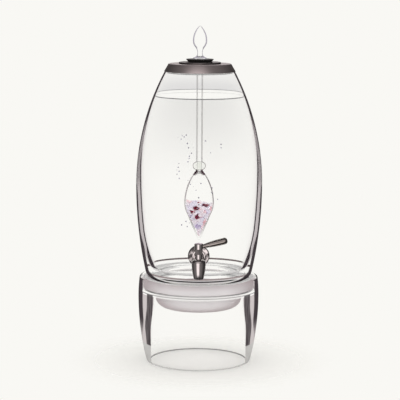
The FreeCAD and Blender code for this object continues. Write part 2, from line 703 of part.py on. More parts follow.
def make_jar():
    """Barrel jar: thin at the mouth, thick at the heel, hollow under the foot, bored for the tap."""
    body = new_body("jar")
    belly = size["jar_belly_radius"]
    outline = Outline(body, "jar_section")
    outline.line(ZERO, jar_base + size["punt_depth"])
    outline.arc(size["punt_radius"], jar_base, bow(size["punt_radius"], size["punt_depth"]), -1)
    outline.line(size["jar_foot_radius"], jar_base)
    outline.arc(belly, jar_belly_height, size["jar_low_bow"], 1)
    outline.arc(size["jar_mouth_radius"], jar_top, size["jar_high_bow"], 1)
    outline.line(jar_mouth_inner, jar_top)
    outline.arc(size["jar_inner_radius"], jar_inner_height, size["jar_neck_bow"], -1)
    outline.arc(size["jar_low_radius"], jar_low_height, size["jar_inner_bow"], -1)
    outline.arc(size["jar_floor_radius"], jar_floor_height, size["jar_heel_bow"], -1)
    outline.line(ZERO, jar_floor_height)
    turn(body, outline, "jar_turned")
    soften(body, "jar_heel", size["jar_heel_round"], (size["jar_foot_radius"], jar_base))
    soften(
        body, "jar_inner_heel", size["jar_floor_round"], (size["jar_floor_radius"], jar_floor_height)
    )
    soften(
        body,
        "jar_rim_edges",
        size["jar_rim_round"],
        (size["jar_mouth_radius"], jar_top),
        (jar_mouth_inner, jar_top),
    )
    hole = ring_sketch(body, "tap_hole_ring", tap_height, [size["shank_radius"] + size["shank_gap"]])
    uncut = body.Tip.Shape.Volume
    add(body, "Pocket", "tap_hole", Profile=(hole, [""]), Length=belly, Reversed=True)
    doc.recompute()
    if uncut - body.Tip.Shape.Volume < 1.0:
        raise RuntimeError("the tap hole cuts nothing")


def make_outer_gasket():
    """Wedge-shaped gasket: a round ring whose back is shaped to the jar's outside."""
    body = new_body("outer_gasket")
    rings = [size["outer_gasket_radius"], ring_hole]
    sketch = ring_sketch(body, "outer_gasket_rings", tap_height, rings)
    add(body, "Pad", "outer_gasket_block", Profile=(sketch, [""]), Length=outer_gasket_face)
    outline = Outline(body, "jar_outside_section")
    outline.line(ZERO, jar_base).line(size["jar_foot_radius"], jar_base)
    outline.arc(size["jar_belly_radius"], jar_belly_height, size["jar_low_bow"], 1)
    outline.line(ZERO, jar_belly_height)
    turn(body, outline, "outer_gasket_back", cut=True)


def make_inner_gasket():
    """Wedge-shaped gasket inside the jar: its outer face is shaped to the inner wall."""
    body = new_body("inner_gasket")
    rings = [size["inner_gasket_radius"], ring_hole]
    sketch = ring_sketch(body, "inner_gasket_rings", tap_height, rings, offset=inner_gasket_face)
    depth = size["jar_belly_radius"] - inner_gasket_face
    add(body, "Pad", "inner_gasket_block", Profile=(sketch, [""]), Length=depth)
    beyond = size["jar_belly_radius"] + size["outer_gasket_radius"]
    outline = Outline(body, "jar_inside_section")
    outline.line(size["jar_floor_radius"], jar_floor_height).line(beyond, jar_floor_height)
    outline.line(beyond, jar_inner_height).line(size["jar_inner_radius"], jar_inner_height)
    outline.arc(size["jar_low_radius"], jar_low_height, size["jar_inner_bow"], -1)
    outline.arc(size["jar_floor_radius"], jar_floor_height, size["jar_heel_bow"], -1)
    outline.corners = outline.corners[1:]
    outline.bends = outline.bends[1:]
    turn(body, outline, "inner_gasket_front", cut=True)


def make_rosette():
    """Steel disc between tap and gasket, rounded at the front."""
    body = new_body("rosette", rosette_face, tap_height)
    outline = Outline(body, "rosette_section", "YZ_Plane")
    back, edge = size["rosette_thickness"], size["rosette_radius"]
    bend = size["rosette_round"]
    outline.line(ZERO, ring_hole).line(back, ring_hole).line(back, edge).line(bend, edge)
    outline.arc(ZERO, edge - bend, bend, 1)
    turn(body, outline, "rosette_turned", axis="H_Axis")


def make_shank_washer():
    """Steel washer on the inner gasket."""
    body = new_body("shank_washer")
    rings = [size["washer_radius"], ring_hole]
    sketch = ring_sketch(body, "shank_washer_rings", tap_height, rings, offset=washer_face)
    add(body, "Pad", "shank_washer_disc", Profile=(sketch, [""]), Length=size["washer_thickness"])


def bevel_nut(body, name, flats, height, axis, base=ZERO):
    """Turn the bevel of a nut's corners at its free end."""
    corner = flats / Size(3.0).root()
    inner = flats / 2
    drop = size["nut_chamfer"]
    outline = Outline(body, f"{name}_section", "XZ_Plane" if axis == "V_Axis" else "YZ_Plane")
    reach = corner + size["cut_margin"]
    slope = reach - inner
    outline.line(inner, base + height).line(reach, base + height)
    outline.line(reach, base + height - drop * slope / (corner - inner))
    turn(body, outline, name, axis=axis, cut=True)


def make_shank_nut():
    """Hexagonal nut on the shank, against the washer; its body's Z runs along the shank."""
    body = doc.addObject("PartDesign::Body", "shank_nut")
    body.Label = "shank_nut"
    quarter = FreeCAD.Rotation(V(1, 0, 0), -90)
    body.Placement = FreeCAD.Placement(V(0, -washer_face.value, tap_height.value), quarter)
    body.setExpression(".Placement.Base.y", f"-({washer_face.text})")
    body.setExpression(".Placement.Base.z", tap_height.text)
    sketch = hexagon_sketch(body, "shank_nut_hexagon", size["shank_nut_flats"])
    height = size["shank_nut_height"]
    add(body, "Pad", "shank_nut_block", Profile=(sketch, [""]), Length=height)
    bevel_nut(body, "shank_nut_bevel", size["shank_nut_flats"], height, "V_Axis")
    bore = size["shank_radius"] + size["fit_gap"]
    outline = Outline(body, "shank_nut_bore_section")
    outline.line(ZERO, ZERO).line(bore, ZERO).line(bore, height).line(ZERO, height)
    turn(body, outline, "shank_nut_bore", cut=True)


def make_tap_body():
    """Tap casting on its upright axis: spout, shoulder and barrel, with the shank behind."""
    body = new_body("tap_body", tap_axis, tap_height)
    below = ZERO - size["spout_drop"]
    wide = ZERO - size["shoulder_drop"]
    shoulder_top = ZERO - size["shoulder_top"]
    step = size["shoulder_radius"] - size["barrel_radius"]
    spout = Outline(body, "spout_section")
    spout.line(ZERO, below).line(size["spout_radius"], below)
    taper = size["shoulder_radius"] - size["spout_radius"]
    spout.arc(size["shoulder_radius"], wide, bow(wide - below, taper), 1)
    spout.arc(size["barrel_radius"], shoulder_top, bow(shoulder_top - wide, step), 1)
    spout.line(size["barrel_radius"], size["barrel_rise"])
    spout.line(size["spigot_radius"], size["barrel_rise"])
    spout.line(size["spigot_radius"], size["spigot_rise"]).line(ZERO, size["spigot_rise"])
    turn(body, spout, "spout_turned")
    soften(body, "spout_edge", size["spout_edge_round"], (size["spout_radius"], below))

    length = tap_axis - shank_end
    collar_front = size["tap_reach"] - size["collar_thickness"]
    shank = Outline(body, "shank_section", "YZ_Plane")
    shank.line(ZERO, ZERO).line(length, ZERO).line(length, size["shank_radius"])
    shank.line(size["tap_reach"], size["shank_radius"])
    shank.line(size["tap_reach"], size["collar_radius"])
    shank.line(collar_front, size["collar_radius"]).line(collar_front, size["arm_root_radius"])
    flare = size["arm_root_radius"] - size["arm_neck_radius"]
    shank.arc(ZERO, size["arm_neck_radius"], bow(collar_front, flare), -1)
    turn(body, shank, "shank_turned", axis="H_Axis")

    chamber = size["plug_radius"] + size["plug_gap"]
    chamber_base = ZERO - size["plug_drop"] - size["plug_floor_gap"]
    mouth_top = below + size["spout_mouth_depth"]
    funnel_top = mouth_top + size["spout_mouth_bore"] - size["spout_bore"]
    bore = Outline(body, "water_way_section")
    bore.line(ZERO, below).line(size["spout_mouth_bore"], below)
    bore.line(size["spout_mouth_bore"], mouth_top).line(size["spout_bore"], funnel_top)
    bore.line(size["spout_bore"], chamber_base).line(chamber, chamber_base)
    bore.line(chamber, size["spigot_rise"]).line(ZERO, size["spigot_rise"])
    turn(body, bore, "water_way", cut=True)

    way = Outline(body, "shank_way_section", "YZ_Plane")
    way.line(ZERO, ZERO).line(length, ZERO).line(length, size["shank_bore"])
    way.line(ZERO, size["shank_bore"])
    turn(body, way, "shank_way", axis="H_Axis", cut=True)


def make_packing_nut():
    """Hexagonal cap nut on the barrel, with a hole for the plug's stem."""
    body = new_body("packing_nut", tap_axis, tap_height)
    flats, seat, top = size["packing_nut_flats"], size["barrel_rise"], size["packing_nut_top"]
    sketch = hexagon_sketch(body, "packing_nut_hexagon", flats)
    sketch.AttachmentOffset = FreeCAD.Placement(V(0, 0, seat.value), FreeCAD.Rotation())
    sketch.setExpression(".AttachmentOffset.Base.z", seat.text)
    add(body, "Pad", "packing_nut_block", Profile=(sketch, [""]), Length=top - seat)
    doc.recompute()
    bevel_nut(body, "packing_nut_bevel", flats, top - seat, "V_Axis", base=seat)
    thread = size["spigot_radius"] + size["fit_gap"]
    stem = size["stem_radius"] + size["stem_gap"]
    roof = top - size["packing_nut_roof"]
    outline = Outline(body, "packing_nut_bore_section")
    outline.line(ZERO, seat).line(thread, seat).line(thread, roof).line(stem, roof)
    outline.line(stem, top).line(ZERO, top)
    turn(body, outline, "packing_nut_bore", cut=True)


def make_valve_plug():
    """Plug with an L-shaped port that meets the shank's bore when it is turned open."""
    body = new_body("valve_plug", tap_axis, tap_height)
    plug, stem = size["plug_radius"], size["stem_radius"]
    floor = ZERO - size["plug_drop"]
    groove = ring_groove_radius
    outline = Outline(body, "plug_section")
    outline.line(ZERO, floor).line(plug, floor)
    for index in range(2):
        low = size["low_groove_rise"] + size["groove_pitch"] * index
        high = low + ring_groove_width
        outline.line(plug, low).line(groove, low).line(groove, high).line(plug, high)
    outline.line(plug, size["plug_rise"]).line(stem, size["plug_rise"])
    outline.line(stem, size["stem_rise"]).line(ZERO, size["stem_rise"])
    turn(body, outline, "plug_turned")
    port = Outline(body, "port_section")
    port.line(ZERO, floor).line(size["port_radius"], floor)
    port.line(size["port_radius"], ZERO).line(ZERO, ZERO)
    turn(body, port, "port_down", cut=True)
    side = ring_sketch(body, "port_ring", ZERO, [size["port_radius"]], plane="YZ_Plane")
    add(body, "Pocket", "port_side", Profile=(side, [""]), Length=plug + size["cut_margin"])


def make_plug_rings():
    """Two O-rings in the plug's grooves."""
    rings = []
    for index in range(2):
        ring = doc.addObject("Part::Torus", f"o_ring_{index + 1}")
        middle = size["low_groove_rise"] + size["groove_pitch"] * index
        middle = tap_height + middle + ring_groove_width / 2
        reach = size["plug_radius"] - size["cord_radius"]
        for key, value in (("Radius1", reach), ("Radius2", size["cord_radius"])):
            setattr(ring, key, value.value)
            ring.setExpression(key, value.text)
        ring.Placement = FreeCAD.Placement(
            V(0, -tap_axis.value, middle.value), FreeCAD.Rotation()
        )
        ring.setExpression(".Placement.Base.y", f"-({tap_axis.text})")
        ring.setExpression(".Placement.Base.z", middle.text)
        rings.append(ring)
    pair = doc.addObject("Part::Compound", "plug_rings")
    pair.Links = rings
    pair.Label = "plug_rings"


def drill(body, name, radius, depth, away, height, tilt):
    """Bore a round hole that starts off the axis and leaves it at a tilt from upright."""
    hole = body.newObject("PartDesign::SubtractiveCylinder", name)
    support = [each for each in body.Origin.OriginFeatures if each.Role == "XY_Plane"][0]
    hole.AttachmentSupport = [(support, "")]
    hole.MapMode = "FlatFace"
    angle = math.radians(tilt.value)
    offset = V(math.sin(angle) * away.value, 0, height.value + math.cos(angle) * away.value)
    hole.AttachmentOffset = FreeCAD.Placement(offset, FreeCAD.Rotation(V(0, 1, 0), tilt.value))
    hole.setExpression(".AttachmentOffset.Base.x", f"sin({tilt.text}) * {away.text}")
    hole.setExpression(
        ".AttachmentOffset.Base.z", f"{height.text} + cos({tilt.text}) * {away.text}"
    )
    hole.setExpression(".AttachmentOffset.Rotation.Angle", tilt.text)
    for key, value in (("Radius", radius), ("Height", depth)):
        setattr(hole, key, value.value)
        hole.setExpression(key, value.text)
    body.Tip = hole
    doc.recompute()


def make_tap_cap():
    """Round cap on the stem, with a socket for the lever and a hole for the grub screw."""
    body = new_body("tap_cap", tap_axis, tap_height)
    top = cap_base + size["cap_height"]
    fit = size["stem_radius"] + size["fit_gap"]
    outline = Outline(body, "cap_section")
    outline.line(fit, cap_base).line(size["cap_radius"], cap_base).line(size["cap_radius"], top)
    outline.line(ZERO, top).line(ZERO, size["stem_rise"] + size["fit_gap"])
    outline.line(fit, size["stem_rise"] + size["fit_gap"])
    turn(body, outline, "cap_turned")
    soften(body, "cap_top", size["cap_round"], (size["cap_radius"], top))
    tilt = 90 - size["lever_rise"]
    line = cap_base + size["lever_height"]
    socket = size["lever_root_radius"] + size["fit_gap"]
    drill(body, "lever_socket", socket, size["cap_radius"], size["lever_socket"], line, tilt)
    stud = size["lever_stud_radius"] + size["fit_gap"]
    stud_end = size["lever_socket"] - size["lever_stud_length"]
    drill(body, "lever_stud_hole", stud, size["lever_stud_length"], stud_end, line, tilt)
    screw = size["grub_radius"] + size["fit_gap"]
    across = Size(-90.0)
    drill(
        body, "grub_hole", screw, size["cap_radius"], ZERO, cap_base + size["grub_height"], across
    )


def make_cap_screw():
    """Grub screw with a hexagon socket, in the cap's side opposite the lever."""
    body = doc.addObject("PartDesign::Body", "cap_screw")
    body.Label = "cap_screw"
    out = size["stem_radius"] + size["fit_gap"]
    up = tap_height + cap_base + size["grub_height"]
    turned = FreeCAD.Rotation(V(0, 1, 0), -90)
    body.Placement = FreeCAD.Placement(V(-out.value, -tap_axis.value, up.value), turned)
    body.setExpression(".Placement.Base.x", f"-({out.text})")
    body.setExpression(".Placement.Base.y", f"-({tap_axis.text})")
    body.setExpression(".Placement.Base.z", up.text)
    outline = Outline(body, "grub_section")
    outline.line(ZERO, ZERO).line(size["grub_radius"], ZERO)
    outline.line(size["grub_radius"], size["grub_length"]).line(ZERO, size["grub_length"])
    turn(body, outline, "grub_turned")
    socket = hexagon_sketch(body, "grub_hexagon", size["grub_hex"])
    half = size["grub_length"] / 2
    sketch_offset = FreeCAD.Placement(V(0, 0, size["grub_length"].value), FreeCAD.Rotation())
    socket.AttachmentOffset = sketch_offset
    socket.setExpression(".AttachmentOffset.Base.z", size["grub_length"].text)
    add(body, "Pocket", "grub_socket", Profile=(socket, [""]), Length=half)


def make_tap_lever():
    """Club-shaped lever, turned about its own line and tilted up from the cap."""
    body = doc.addObject("PartDesign::Body", "tap_lever")
    body.Label = "tap_lever"
    tilt = 90 - size["lever_rise"]
    up = tap_height + cap_base + size["lever_height"]
    turned = FreeCAD.Rotation(V(0, 1, 0), tilt.value)
    body.Placement = FreeCAD.Placement(V(0, -tap_axis.value, up.value), turned)
    body.setExpression(".Placement.Base.y", f"-({tap_axis.text})")
    body.setExpression(".Placement.Base.z", up.text)
    body.setExpression(".Placement.Rotation.Angle", tilt.text)
    seat, root = size["lever_socket"], size["lever_root_radius"]
    swell, thick = size["lever_swell"], size["lever_radius"]
    stud, stud_end = size["lever_stud_radius"], seat - size["lever_stud_length"]
    straight = size["cap_radius"] + size["lever_neck"]
    outline = Outline(body, "lever_section")
    outline.line(ZERO, stud_end).line(stud, stud_end).line(stud, seat).line(root, seat)
    outline.line(root, straight)
    outline.arc(thick, swell, bow(swell - straight, thick - root), 1)
    outline.line(thick, size["lever_reach"]).line(ZERO, size["lever_reach"])
    turn(body, outline, "lever_turned")
    soften(body, "lever_end", size["lever_end_round"], (thick, size["lever_reach"]))


def make_lid_shell():
    """Spun steel lid: cone skirt, rounded top edge and a plate with the vial's opening."""
    body = new_body("lid_shell")
    sheet_size = size["lid_sheet"]
    low, high = size["lid_low_radius"], size["lid_top_radius"]
    run = size["lid_low_radius"] - size["lid_top_radius"]
    wall = sheet_size * (square(size["lid_rise"]) + square(run)).root() / size["lid_rise"]
    under = lid_top - sheet_size
    drift = run * sheet_size / size["lid_rise"]
    outline = Outline(body, "lid_section")
    outline.line(low - wall, lid_base).line(low, lid_base).line(high, lid_top)
    outline.line(size["lid_hole_radius"], lid_top).line(size["lid_hole_radius"], under)
    outline.line(high - wall + drift, under)
    turn(body, outline, "lid_turned")
    soften(body, "lid_edge", size["lid_round"], (high, lid_top))
    soften(
        body, "lid_edge_inside", size["lid_round"] - sheet_size, (high - wall + drift, under)
    )


def make_lid_collar():
    """Short steel collar, spot-welded under the lid's plate to carry the seal."""
    body = new_body("lid_collar")
    outer, wall = size["collar_ring_radius"], size["collar_ring_sheet"]
    top = lid_top - size["lid_sheet"]
    low = lid_base
    outline = Outline(body, "lid_collar_section")
    outline.line(outer - wall, low).line(outer, low).line(outer, top)
    outline.line(outer - wall - size["collar_ring_flange"], top)
    outline.line(outer - wall - size["collar_ring_flange"], top - wall)
    outline.line(outer - wall, top - wall)
    turn(body, outline, "lid_collar_turned")


def make_lid_seal():
    """Silicone ring on the collar: a flange over the jar's rim and a lip inside its mouth."""
    body = new_body("lid_seal")
    inner = size["collar_ring_radius"] + size["fit_gap"]
    lip, lip_wall = size["seal_lip_radius"], size["seal_lip_wall"]
    top = lid_base + size["seal_flange_height"]
    low = lid_base - size["seal_lip_depth"]
    outline = Outline(body, "lid_seal_section")
    outline.line(inner, lid_base).line(lip - lip_wall, lid_base).line(lip - lip_wall, low)
    outline.line(lip, low).line(lip, lid_base).line(size["seal_flange_radius"], lid_base)
    outline.line(size["seal_flange_radius"], top).line(inner, top)
    turn(body, outline, "lid_seal_turned")


def make_holder_flange():
    """Steel ring on the lid with a collar that centres it in the opening."""
    body = new_body("holder_flange")
    collar = size["lid_hole_radius"] - size["flange_collar_gap"]
    inner = collar - size["flange_collar_wall"]
    low = lid_top - size["flange_collar_depth"]
    hole = size["stopper_plug_radius"] + size["fit_gap"]
    outline = Outline(body, "flange_section")
    outline.line(hole, lid_top).line(inner, lid_top).line(inner, low).line(collar, low)
    outline.line(collar, lid_top).line(size["flange_radius"], lid_top)
    outline.line(size["flange_radius"], flange_top).line(hole, flange_top)
    turn(body, outline, "flange_turned")
    soften(body, "flange_edge", size["flange_round"], (size["flange_radius"], flange_top))


def make_vial_stopper():
    """Black silicone cone with a plug inside the flange and a bore for the tube."""
    body = new_body("vial_stopper")
    bore = size["tube_radius"] + size["fit_gap"]
    low = flange_top - size["stopper_plug_depth"]
    outline = Outline(body, "stopper_section")
    outline.line(bore, low).line(size["stopper_plug_radius"], low)
    outline.line(size["stopper_plug_radius"], flange_top)
    outline.line(size["stopper_low_radius"], flange_top)
    outline.line(size["stopper_top_radius"], finial_base).line(bore, finial_base)
    turn(body, outline, "stopper_turned")


def draw_vial(outline, inset, top, tip_height, tip_radius):
    """Draw one wall of the vial from its top down to its tip, inset from the outside."""
    tube, bead = size["tube_radius"] - inset, size["bead_radius"] - inset
    half = size["bead_half"]
    bead_bow = bow(half, bead - tube)
    neck, neck_height = size["bulb_neck_radius"] - inset, size["bulb_neck_height"]
    belly, turn_radius = size["bulb_radius"] - inset, size["bulb_turn_radius"] - inset
    turn_height = size["bulb_turn_height"]
    outline.line(tube, top)
    if inset is ZERO:
        outline.line(tube, size["bead_height"] + half)
        outline.arc(bead, size["bead_height"], bead_bow, -1)
        outline.arc(tube, size["bead_height"] - half, bead_bow, -1)
    else:
        outline.line(tube, neck_height + half / 2)
    outline.line(neck, neck_height)
    upper = bow(neck_height - size["bulb_height"], belly - neck)
    outline.arc(belly, size["bulb_height"], upper, -1)
    outline.arc(
        turn_radius,
        turn_height,
        bow(size["bulb_height"] - turn_height, belly - turn_radius),
        -1,
    )
    outline.line(tip_radius, tip_height)


def make_vial():
    """Blown tube with a bead and a pear-shaped bulb, one hollow piece of glass."""
    body = new_body("vial")
    top = finial_base
    outside = Outline(body, "vial_outside_section")
    draw_vial(outside, ZERO, top, size["bulb_tip_height"], size["bulb_tip_radius"])
    outside.line(ZERO, size["bulb_tip_height"]).line(ZERO, top)
    turn(body, outside, "vial_outside")
    tip_edge = (size["bulb_tip_radius"], size["bulb_tip_height"])
    soften(body, "vial_tip", size["bulb_tip_radius"] / 2, tip_edge)
    inside = Outline(body, "vial_inside_section")
    inner_tip = size["bulb_inner_tip"]
    draw_vial(inside, size["tube_wall"], top, inner_tip, size["bulb_tip_radius"] / 2)
    inside.line(ZERO, inner_tip).line(ZERO, top)
    turn(body, inside, "vial_inside", cut=True)


def make_finial():
    """Glass drop on a flared foot, with a stub that closes the tube."""
    body = new_body("finial")
    stub = size["tube_radius"] - size["tube_wall"] - size["fit_gap"]
    foot, neck = size["finial_foot_radius"], size["finial_neck_radius"]
    belly, tip = size["finial_belly_radius"], size["finial_tip_radius"]
    neck_height = finial_base + size["finial_neck_rise"]
    belly_height = finial_base + size["finial_belly_rise"]
    top = finial_base + size["finial_height"]
    waist = (belly - neck) / 2
    lift = (belly_height - neck_height) / 2
    sweep = bow(lift, waist)
    low = finial_base - size["finial_stub_depth"]
    outline = Outline(body, "finial_section")
    outline.line(ZERO, low).line(stub, low).line(stub, finial_base).line(foot, finial_base)
    outline.line(foot, finial_base + size["finial_foot_height"])
    rise = size["finial_neck_rise"] - size["finial_foot_height"]
    outline.arc(neck, neck_height, bow(rise, foot - neck), -1)
    outline.arc(neck + waist, neck_height + lift, sweep, -1)
    outline.arc(belly, belly_height, sweep, 1)
    outline.arc(tip, top, bow(top - belly_height, belly - tip), 1)
    outline.line(ZERO, top)
    turn(body, outline, "finial_turned")
    soften(body, "finial_foot_edge", size["finial_foot_height"] / 3, (foot, finial_base))


# The stones: cells of a jittered packing inside the bulb, cut by flat faces

WALL_PLANES = 26
FACETS = 5
CUBE_STEPS = ((-1, -1), (1, -1), (1, 1), (-1, 1))
SHAVE = 0.04
STONE_ORDER = (
    "rose_quartz",
    "clear_quartz",
    "rose_quartz",
    "amethyst",
    "rose_quartz",
    "clear_quartz",
    "amethyst",
    "rose_quartz",
    "garnet",
)


def clip(faces, point, normal):
    """Cut a convex solid, given as a list of corner lists, by a plane and close the cut.

    The plane moves in until no corner lies close to it, so that no edge gets too short.
    """
    while any(abs((each - point).dot(normal)) < SHAVE for corners in faces for each in corners):
        point = point - normal * SHAVE
    kept = []
    rim = []
    for corners in faces:
        cut = []
        for index, corner in enumerate(corners):
            before = corners[index - 1]
            depth_before = (before - point).dot(normal)
            depth = (corner - point).dot(normal)
            if (depth_before > 0) != (depth > 0):
                share = depth_before / (depth_before - depth)
                crossing = before + (corner - before) * share
                cut.append(crossing)
                rim.append(crossing)
            if depth <= 0:
                cut.append(corner)
        if len(cut) > 2:
            kept.append(cut)
    if rim:
        middle = sum(rim, V(0, 0, 0)) / len(rim)
        across = (rim[0] - middle).normalize()
        up = normal.cross(across)
        order = sorted(rim, key=lambda each: turn_of(each - middle, across, up))
        closed = []
        for corner in order:
            if not closed or (corner - closed[-1]).Length > SAME:
                closed.append(corner)
        if (closed[0] - closed[-1]).Length < SAME:
            closed.pop()
        if len(closed) > 2:
            kept.append(closed)
    return kept


def turn_of(spoke, across, up):
    return math.atan2(spoke.dot(up), spoke.dot(across))


def cube(middle, half):
    """The six faces of a cube, each a list of corners."""
    faces = []
    for axis in range(3):
        for sign in (-1, 1):
            corners = []
            for first, second in CUBE_STEPS:
                spot = [0.0, 0.0, 0.0]
                spot[axis] = sign
                spot[(axis + 1) % 3] = first
                spot[(axis + 2) % 3] = second
                corners.append(middle + V(*spot) * half)
            faces.append(corners)
    return faces


def to_solid(faces):
    """Turn a list of corner lists into a solid."""
    walls = []
    for corners in faces:
        walls.append(Part.Face(Part.makePolygon(corners + corners[:1])))
    shell = Part.Shell(walls)
    shell.sewShape()
    solid = Part.Solid(shell)
    if solid.Volume < 0:
        solid.reverse()
    return solid


def bulb_room():
    """Inner corners of the room for the stones: radius and height from the top down."""
    wall, gap = size["tube_wall"].value, size["stone_gap"].value
    wide = (size["bulb_radius"].value - wall - gap, size["bulb_height"].value)
    bend = (size["bulb_turn_radius"].value - wall - gap, size["bulb_turn_height"].value)
    tip = (gap, size["bulb_inner_tip"].value + 2 * gap)
    return wide, bend, tip


LEVEL_STEP = 0.86
FIRST_LEVEL = 0.9
OVER_TOP = 0.3
RING_INSET = 0.45
RING_LEAST = -0.2
WOBBLE = 0.16


def stone_seeds():
    """Middles of the stones, in rings on levels, each pushed off its place by a formula."""
    wide, bend, tip = bulb_room()
    pitch = size["stone_pitch"].value
    wobble = pitch * WOBBLE
    level = tip[1] + pitch * FIRST_LEVEL
    seeds = []
    while level < size["stone_fill_height"].value + pitch * OVER_TOP:
        room = bend[0] * min((level - tip[1]) / (bend[1] - tip[1]), 1.0)
        radius = room - pitch * RING_INSET
        while radius > pitch * RING_LEAST:
            reach = max(radius, 0.0)
            places = max(1, round(2 * math.pi * reach / pitch))
            for index in range(places):
                count = len(seeds)
                angle = 2 * math.pi * (index + 0.5 * math.sin(count)) / places + level
                spot = V(reach * math.cos(angle), reach * math.sin(angle), level)
                push = V(math.sin(7 * count), math.cos(5 * count), math.sin(3 * count))
                seeds.append(spot + push * wobble)
            radius -= pitch
        level += pitch * LEVEL_STEP
    return seeds


def wall_planes():
    """Planes round the room inside the bulb, as points with outward normals."""
    wide, bend, tip = bulb_room()
    above = (wide[0], size["stone_fill_height"].value + size["stone_pitch"].value)
    planes = []
    for upper, lower in ((above, wide), (wide, bend), (bend, tip)):
        run, fall = upper[0] - lower[0], upper[1] - lower[1]
        for index in range(WALL_PLANES):
            angle = 2 * math.pi * index / WALL_PLANES
            out = V(math.cos(angle), math.sin(angle), 0)
            normal = (out * fall - V(0, 0, run)).normalize()
            inset = upper[0] * math.cos(math.pi / WALL_PLANES)
            planes.append((out * inset + V(0, 0, upper[1]), normal))
    return planes


CELL_REACH = 2.4
TOP_LEAN = 0.25
TOP_WAVE = 0.2
FACET_REACH = 0.5
FACET_WAVE = 0.09
FACET_TURN = 2.4
FACET_TILT = 1.7
FACET_RIPPLE = 2.3


def top_plane(seed, count):
    """The plane that ends the stones at the top of the fill, a little uneven from cell to cell."""
    pitch = size["stone_pitch"].value
    lean = V(TOP_LEAN * math.sin(4 * count), TOP_LEAN * math.cos(9 * count), 1).normalize()
    slope = size["stone_fill_slope"].value * seed.x
    height = size["stone_fill_height"].value - slope + TOP_WAVE * pitch * math.sin(6 * count)
    return V(seed.x, seed.y, height), lean


def facet_planes(seed, count):
    """Flat breaks all round a stone."""
    for index in range(FACETS):
        bearing = FACET_TURN * (index + count)
        tilt = math.asin(math.sin(FACET_TILT * index + count))
        normal = V(math.cos(bearing), math.sin(bearing), 0) * math.cos(tilt)
        normal += V(0, 0, math.sin(tilt))
        wave = FACET_WAVE * math.sin(FACET_RIPPLE * index + 5 * count)
        yield seed + normal * size["stone_pitch"].value * (FACET_REACH + wave), normal


def cell_planes(seed, seeds):
    """Planes halfway to the neighbouring stones, with half of the gap taken off."""
    for other in seeds:
        away = other - seed
        if SAME < away.Length < CELL_REACH * size["stone_pitch"].value:
            reach = away.Length / 2 - size["stone_gap"].value / 2
            normal = away.normalize()
            yield seed + normal * reach, normal


def make_stones():
    """Cut every stone from its cell and group the stones by kind."""
    seeds = stone_seeds()
    walls = wall_planes()
    kinds = {label: [] for label in STONE_ORDER}
    for count, seed in enumerate(seeds):
        planes = [*cell_planes(seed, seeds), *walls, top_plane(seed, count)]
        planes += facet_planes(seed, count)
        faces = cube(seed, size["stone_pitch"].value)
        for point, normal in planes:
            faces = clip(faces, point, normal)
        if len(faces) < 4:
            continue
        stone = to_solid(faces)
        if stone.Volume > size["stone_least"].value:
            kinds[STONE_ORDER[count % len(STONE_ORDER)]].append(stone)
    for label, stones in kinds.items():
        heap = doc.addObject("Part::Feature", label)
        heap.Label = label
        heap.Shape = Part.makeCompound(stones)


make_stand()
make_cradle_seal()
make_cradle()
make_jar_ring()
make_jar()
make_outer_gasket()
make_inner_gasket()
make_rosette()
make_shank_washer()
make_shank_nut()
make_tap_body()
make_packing_nut()
make_valve_plug()
make_plug_rings()
make_tap_cap()
make_cap_screw()
make_tap_lever()
make_lid_shell()
make_lid_collar()
make_lid_seal()
make_holder_flange()
make_vial_stopper()
make_vial()
make_finial()
make_stones()

# Check the document and write each sub-part

doc.recompute()
for each in doc.Objects:
    if {"Invalid", "Error"} & set(each.State):
        raise RuntimeError(f"{each.Label} is {each.State}")
os.makedirs("parts", exist_ok=True)
pieces = [each for each in doc.Objects if each.TypeId == "PartDesign::Body"]
pieces += [each for each in doc.Objects if each.TypeId in ("Part::Compound", "Part::Feature")]
for piece in pieces:
    if piece.Shape.isNull() or not piece.Shape.isValid():
        raise RuntimeError(f"{piece.Label} has no valid shape")
    piece.Shape.exportStep(f"parts/{piece.Label}.step")
    print(piece.Label, len(piece.Shape.Solids), round(piece.Shape.Volume / 1000, 2), "cm3")
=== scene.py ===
"""Glass water dispenser: jar, stand, tap, lid and stone vial, dressed for the studio."""
import functools
import math

import bmesh
import bpy
from bpy.props import FloatProperty, FloatVectorProperty, IntProperty, PointerProperty
from mathutils import Matrix, Vector


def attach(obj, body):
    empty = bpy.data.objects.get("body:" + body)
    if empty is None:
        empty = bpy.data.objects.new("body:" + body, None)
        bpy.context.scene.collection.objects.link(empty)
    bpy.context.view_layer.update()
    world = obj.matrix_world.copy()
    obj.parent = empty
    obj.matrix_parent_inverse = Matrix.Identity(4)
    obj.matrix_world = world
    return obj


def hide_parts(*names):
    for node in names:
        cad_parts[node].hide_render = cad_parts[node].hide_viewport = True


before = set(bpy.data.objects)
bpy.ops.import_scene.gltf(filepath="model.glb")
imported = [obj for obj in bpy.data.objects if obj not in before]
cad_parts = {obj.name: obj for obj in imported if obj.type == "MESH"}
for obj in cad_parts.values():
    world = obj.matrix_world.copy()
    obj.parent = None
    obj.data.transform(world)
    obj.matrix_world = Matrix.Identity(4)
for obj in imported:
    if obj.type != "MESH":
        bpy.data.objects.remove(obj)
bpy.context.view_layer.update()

bl_info = {
    "name": "Glass Water Dispenser",
    "version": (1, 0, 0),
    "blender": (4, 5, 0),
    "location": "View3D > Sidebar > Dispenser",
    "description": "Builds a glass jar dispenser with its stand, tap, lid and stone vial",
    "category": "Add Mesh",
}


# Settings


def length(name, millimetres, description):
    """A length, given in millimetres and kept in metres."""
    return FloatProperty(
        name=name,
        description=description,
        default=millimetres / 1000,
        precision=5,
        unit="LENGTH",
        subtype="DISTANCE",
    )


def number(name, value, description):
    return FloatProperty(name=name, description=description, default=value)


def colour(name, value, description):
    return FloatVectorProperty(
        name=name, description=description, default=value, size=3, min=0, max=1, subtype="COLOR"
    )


